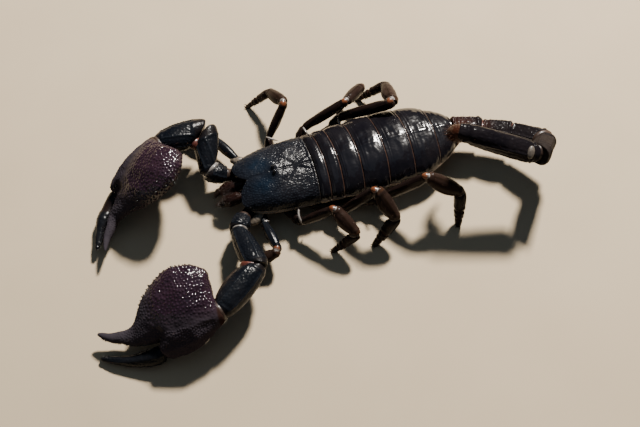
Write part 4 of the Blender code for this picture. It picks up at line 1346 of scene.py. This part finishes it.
# %% Fine bristles on the legs, arms and tail
# For each part of a leg: how far apart they stand, and their shortest and longest.
LEG_HAIR = {"thigh": (2.6, (0.7, 1.3)), "knee": (2.2, (0.7, 1.4)), "shin": (1.05, (0.6, 1.2))}
FINE = 0.028
places, roots = [], []
for block, (side, number) in enumerate(LEGS):
    stops = LEG_JOINTS[side, number]
    for start, (part, (spacing, long)) in enumerate(LEG_HAIR.items()):
        limb = Limb(stops[start], stops[start + 1], UP)
        piece = bpy.data.objects[f"leg_{side}_{number}_{part}"]
        free, seed = between(0.08, 0.95, above=1.2), 80 + 3 * block + start
        plant(places, roots, piece, limb, block, spacing, seed, long, FINE, free, limb.way, 0.6)
dress(stamp("leg_bristles", BRISTLE, places, roots), "bristle", "leg")
print("leg bristles:", len(places))
places, roots = [], []
for block, (side, _) in enumerate(SIDES):
    for number, part in enumerate(ARM_PARTS):
        limb = Limb(ARM_JOINTS[side][number], ARM_JOINTS[side][number + 1], UP)
        piece = bpy.data.objects[f"arm_{side}_{part}"]
        free, strip = between(0.08, 0.95), 3 * block + number
        plant(places, roots, piece, limb, strip, 3.2, 110 + block, (0.7, 1.5), FINE, free, limb.way, 0.7)
    limb = Limb(ARM_JOINTS[side][3], ARM_JOINTS[side][4], UP)
    for piece, strip in ((bpy.data.objects[f"hand_{side}"], 6 + block), (FINGERS[side], 8 + block)):
        free = between(0.08, 0.98, above=1.5)
        plant(places, roots, piece, limb, strip, 3.4, 120 + block, (0.6, 1.3), FINE, free, limb.way, 0.7)
dress(stamp("arm_bristles", BRISTLE, places, roots), "bristle", "arm")
print("arm bristles:", len(places))
places, roots = [], []
topmost = plan("tail_segment_5")[1][2]
for number in range(5):
    limb = Limb(tail_stops[number], tail_stops[number + 1], TAIL_BACKS[number])
    piece = bpy.data.objects[f"tail_part_{number + 1}"]
    free = between(0.08, 0.95, below=topmost - 1.4)
    plant(places, roots, piece, limb, number, 2.7, 130 + number, (0.8, 1.6), 0.030, free, limb.way, 0.75)
dress(stamp("tail_bristles", BRISTLE, places, roots), "bristle", "tail")
print("tail bristles:", len(places))

# %% [markdown]
# ## The feet
# Each foot ends in two curved hooks that grip, over a short blunt spur, with a few stout
# spines in two rows along its sole. They all stay above the floor.

# %% Hooks and spines of the feet
SPINE_ROWS = (148, -148)  # degrees from the back
SPINE_PLACES = (0.55, 0.62, 0.70, 0.80, 0.86, 0.92)  # shares of the foot's length
SPINES_OVER = 0.7  # they stay above this height
hooks, spines = [], []
for side, number in LEGS:
    knee, sole = LEG_JOINTS[side, number][2:]
    limb = Limb(knee, sole, UP)
    out = unit(np.array([limb.way[0], limb.way[1], 0.0]))
    across = np.cross(UP, out)
    for sign in (-1, 1):
        foot = sole + 0.62 * UP - 0.15 * out + 0.18 * sign * across
        hooks.append((foot, out + 0.42 * sign * across + 0.30 * UP, -UP, 0.24, 0.26, 1.75))
    hooks.append((sole + 0.45 * UP, out + 0.05 * UP, -UP, 0.20, 0.12, 0.8))
    # The spines take their places from the foot's solid, which is coarse, so some share a place.
    piece = bpy.data.objects[f"leg_{side}_{number}_foot"]
    points, normals = points_of(piece), normals_of(piece)
    share, angle, _ = limb.measure(points)
    for at in SPINE_ROWS:
        for place in SPINE_PLACES:
            away_by = np.abs(share - place) * 30 + np.abs(turn(angle, at)) / 10
            index = int(np.argmin(away_by + 50 * (points[:, 2] < SPINES_OVER)))
            way = normals[index] + 0.8 * limb.way + 0.4 * UP
            spines.append((points[index] - SUNK * normals[index], way, limb.way, 0.10, 0.10, 0.62))
dress(stamp("foot_hooks", HOOK, hooks, rim=np.zeros(len(HOOK[0]))), "telson", "leg")
dress(stamp("foot_spines", TOOTH, spines), "tooth", "leg")
print("hooks and spines:", len(hooks), len(spines))

# %% [markdown]
# ## The underside
# Few will look here, but the model is whole: a pentagonal breast plate between the leg
# bases, two small lids behind it, the tooth rows of the combs, and four pairs of oblique
# breathing slits in the belly plates.

# %% Look up at the body from below
BASE_POINTS = points_of(bases)


def underside(points, x, y, reach=0.7):
    near = np.hypot(points[:, 0] - x, points[:, 1] - y) < reach
    return points[near, 2].min() if near.any() else None


def belly_lid(name, sides, long, wide, centre, height):
    """A small plate: a flat outline made thick and rounded, then set under the body."""
    bpy.ops.object.select_all(action="DESELECT")
    bpy.ops.mesh.primitive_circle_add(vertices=sides, radius=MM, fill_type="NGON")
    lid = bpy.context.object
    keep_place(lid, name)
    open_edit(lid, "FACE")
    bpy.ops.transform.resize(value=(long, wide, 1), center_override=(0, 0, 0))
    bpy.ops.mesh.extrude_region_move(TRANSFORM_OT_translate={"value": (0, 0, height * MM)})
    bpy.ops.mesh.select_all(action="SELECT")
    bpy.ops.mesh.normals_make_consistent(inside=False)
    bpy.ops.transform.translate(value=tuple(np.asarray(centre) * MM))
    close_edit()
    apply_modifier(lid, "BEVEL", width=0.22 * MM, segments=3, limit_method="ANGLE")
    smooth_but_edges(lid)
    return dress(lid, "belly", "leg")


low, high, _ = plan("prosoma_underside")
breast = low[0] + 0.36 * (high[0] - low[0])
floor_of_breast = underside(BASE_POINTS, breast, SHIELD_MIDDLE[1], 1.2)
belly_lid("breast_plate", 5, 2.0, 1.9, (breast, SHIELD_MIDDLE[1], floor_of_breast - 0.15), 0.9)
for side, sign in SIDES:
    centre = (breast - 3.4, SHIELD_MIDDLE[1] + 1.25 * sign, floor_of_breast - 0.10)
    belly_lid(f"belly_lid_{side}", 14, 1.15, 1.2, centre, 0.8)

# %% Comb teeth
COMB_TEETH = 19  # on each side
comb_teeth = []
for side, sign in SIDES:
    points = points_of(bpy.data.objects["comb_" + side])
    centre = points.mean(axis=0)
    _, _, axes = np.linalg.svd(points - centre)
    along = axes[0] * np.sign(axes[0][1] * sign)
    back = np.cross(UP, along)
    back *= -np.sign(back[0])
    reach = (points - centre) @ along
    for place in np.linspace(reach.min() + 0.7, reach.max() - 0.3, COMB_TEETH):
        strip = points[np.abs(reach - place) < 0.5]
        edge = ((strip - centre) @ back).max()
        foot = centre + along * place + back * (edge + 0.25) - 0.05 * UP
        comb_teeth.append((foot, back + 0.15 * along, UP, 0.24, 0.20, 0.85))
dress(stamp("comb_teeth", ball(8, 6), comb_teeth), "pectine", "pectine")

# %% Breathing slits
slits = []
for number in range(3, 7):
    points = points_of(bpy.data.objects[f"belly_plate_{number}"])
    x = 0.5 * (points[:, 0].min() + points[:, 0].max())
    half = 0.5 * np.ptp(points[:, 1])
    for side, sign in SIDES:
        y = SHIELD_MIDDLE[1] + 0.52 * half * sign
        low = underside(points, x, y, 1.2)
        if low is not None:
            slits.append(((x, y, low + 0.04), (0.35, 0.95 * sign, 0.12), UP, 0.26, 0.14, 1.15))
dress(stamp("breathing_slits", ball(10, 8), slits), "tooth", "tail")
print("comb teeth and slits:", len(comb_teeth), len(slits))

# %% [markdown]
# ## Soft skin beside the head
# Behind the shoulder of each arm a tan bulge of skin fills the corner between the shield
# and the first leg.

# %% Shoulder skin
SHOULDER = 22.6  # ahead of the shield's rear edge
shoulders = []
for side, sign in SIDES:
    aside = SHIELD_MIDDLE[1] + sign * (half_width(SHOULDER) + 1.3)
    spot = np.array([SHIELD_LOW[0] + SHOULDER, aside, SHIELD_LOW[2] - 1.2])
    shoulders.append((spot, (1, 0.45 * sign, -0.1), UP, 1.7, 1.4, 2.9))
# Its creases are painted darker: painted shade.
dress(stamp("shoulder_skin", FOLDED, shoulders, rim=0.35 * folds), "tan_skin", "flesh")

# %% [markdown]
# ## Folds along the flanks
# Under the edge of the back plates the soft skin of the flank shows as a row of small pale
# folds.

# %% Flank folds
draws, flank_folds = random.Random(83), []


def edge_near(edge, x, sign):
    """How far out the edge of a plate lies, on one side, close to a place along the body."""
    return np.max(sign * edge[np.abs(edge[:, 0] - x) < 0.6, 1])


for number in range(1, 7):
    low, high, middle = plan(f"tergite_{number}")
    edge = solid_points(f"tergite_{number}") - (0, middle[1], 0)
    for side, sign in SIDES:
        for step in np.linspace(low[0] + 0.8, high[0] - 0.8, 2 if number < 3 else 3):
            rear_reach, front_reach = edge_near(edge, low[0], sign), edge_near(edge, high[0], sign)
            share = (step - low[0]) / (high[0] - low[0])
            reach = rear_reach + share * (front_reach - rear_reach) - 0.35 + 0.12 * draws.uniform(-1, 1)
            foot = np.array([step, middle[1] + sign * reach, low[2] - 0.15 + 0.2 * draws.uniform(-1, 1)])
            slope = sign * (front_reach - rear_reach) / (high[0] - low[0])
            way = (1, slope + 0.08 * draws.uniform(-1, 1), 0.2 * draws.uniform(-1, 1))
            flank_folds.append((foot, way, UP, 0.42, 0.36, draws.uniform(1.3, 2.3)))
# Their creases are painted darker: painted shade.
dress(stamp("flank_folds", FOLDED, flank_folds, rim=0.3 * folds), "tan_skin", "flesh")

# %% [markdown]
# ## The bend of the tail
# Where the tail turns over, the skin between its fourth and fifth parts bulges out in a pale
# pad, inside the dark ring of the fifth part's collar. Its pale grey-brown is a painted
# reflection of light on the smooth skin.

# %% The pad at the bend
bend_before, bend_after = (Limb(tail_stops[part], tail_stops[part + 1], UP).way for part in (3, 4))
hinge_axis = unit(np.cross(bend_before, bend_after))
outward = -np.cross(hinge_axis, bend_after)
pad_centre = tail_stops[4] + 3.0 * bend_after - 1.3 * hinge_axis + 4.75 * outward
pad_way = 0.87 * outward - 0.49 * hinge_axis - 0.1 * bend_after
corners, faces = ball(24, 12)
height = corners[:, 2] - corners[:, 2].mean()
pad_place = (pad_centre, pad_way, bend_after, 2.3, 1.3, 0.9)
# The pad's pale grey-brown is a painted reflection of light.
pad = stamp("tail_bend_pad", (corners, faces), [pad_place], rim=bell(height - 0.12, 0.14))
dress(pad, "pad_skin", "flesh")

# %% [markdown]
# ## Floor, light and camera
# A plain pale floor and studio light let the glossy shell show its form. A small warm key lamp
# shines from above, behind and on the animal's right, a broad bluish one stands for the sky,
# and a low fill lifts the shaded flank.

# %% The floor
bpy.ops.object.select_all(action="DESELECT")
bpy.ops.mesh.primitive_plane_add(size=6.0, location=(0, 0, 0))
floor = bpy.context.object
keep_place(floor, "floor")
paper = bpy.data.materials.new("pale_floor")
paper.use_nodes = True
tree, surface = paper.node_tree, paper.node_tree.nodes["Principled BSDF"]
speck = node(tree, "TexNoise", {"Vector": node(tree, "TexCoord").outputs["Object"], "Scale": 30.0})
tone = blend(tree, speck.outputs["Fac"], (0.43, 0.34, 0.225, 1), (0.48, 0.385, 0.26, 1))
tree.links.new(tone, surface.inputs["Base Color"])
surface.inputs["Roughness"].default_value = 0.85
floor.data.materials.append(paper)


# %% Lights
def soft_light(name, place, aim, size, power, colour):
    bpy.ops.object.select_all(action="DESELECT")
    bpy.ops.object.light_add(type="AREA", location=place)
    lamp = bpy.context.object
    lamp.name = name
    lamp.data.size = size
    lamp.data.energy = power
    lamp.data.color = colour
    lamp.rotation_euler = (Vector(aim) - Vector(place)).to_track_quat("-Z", "Y").to_euler()
    return lamp


VIEW_TARGET = Vector((-0.52, 5.71, 0.0)) * MM
VIEW_PLACE = Vector((58.96, 193.23, 369.99)) * MM
ahead = (VIEW_TARGET - VIEW_PLACE).normalized()
across = ahead.cross(Vector((0, 0, 1))).normalized()
away = Vector((0, 0, 1)).cross(across).normalized()


def from_view(right, back, up):
    """A place on the studio floor plan as the camera sees it: to its right, away from it, and up."""
    return VIEW_TARGET + across * right + away * back + Vector((0, 0, up))


soft_light("key", from_view(0.19, 0.50, 0.60), (0, 0, 0), 0.085, 22.0, (1.0, 0.95, 0.88))
soft_light("sky", from_view(-0.15, 0.15, 0.9), (0, 0, 0), 0.9, 0.55, (0.52, 0.76, 1.0))
soft_light("fill", from_view(-0.5, -0.5, 0.4), (0, 0, 0), 0.5, 0.25, (1.0, 0.97, 0.93))
world = bpy.data.worlds.new("studio")
world.use_nodes = True
background = world.node_tree.nodes["Background"].inputs
background["Color"].default_value = (0.62, 0.78, 1.0, 1)
background["Strength"].default_value = 0.07
bpy.context.scene.world = world

# %% The camera
bpy.ops.object.camera_add(location=VIEW_PLACE)
camera = bpy.context.object
camera.name = "camera"
camera.rotation_euler = ahead.to_track_quat("-Z", "Y").to_euler()
camera.data.angle = math.radians(30)
camera.data.clip_start = 0.01
bpy.context.scene.camera = camera

# %% Sizes, and the end
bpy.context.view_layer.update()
triangles = sum(sum(len(face.vertices) - 2 for face in piece.data.polygons) for piece in PIECES)
print("pieces:", len(PIECES), "triangles:", triangles)
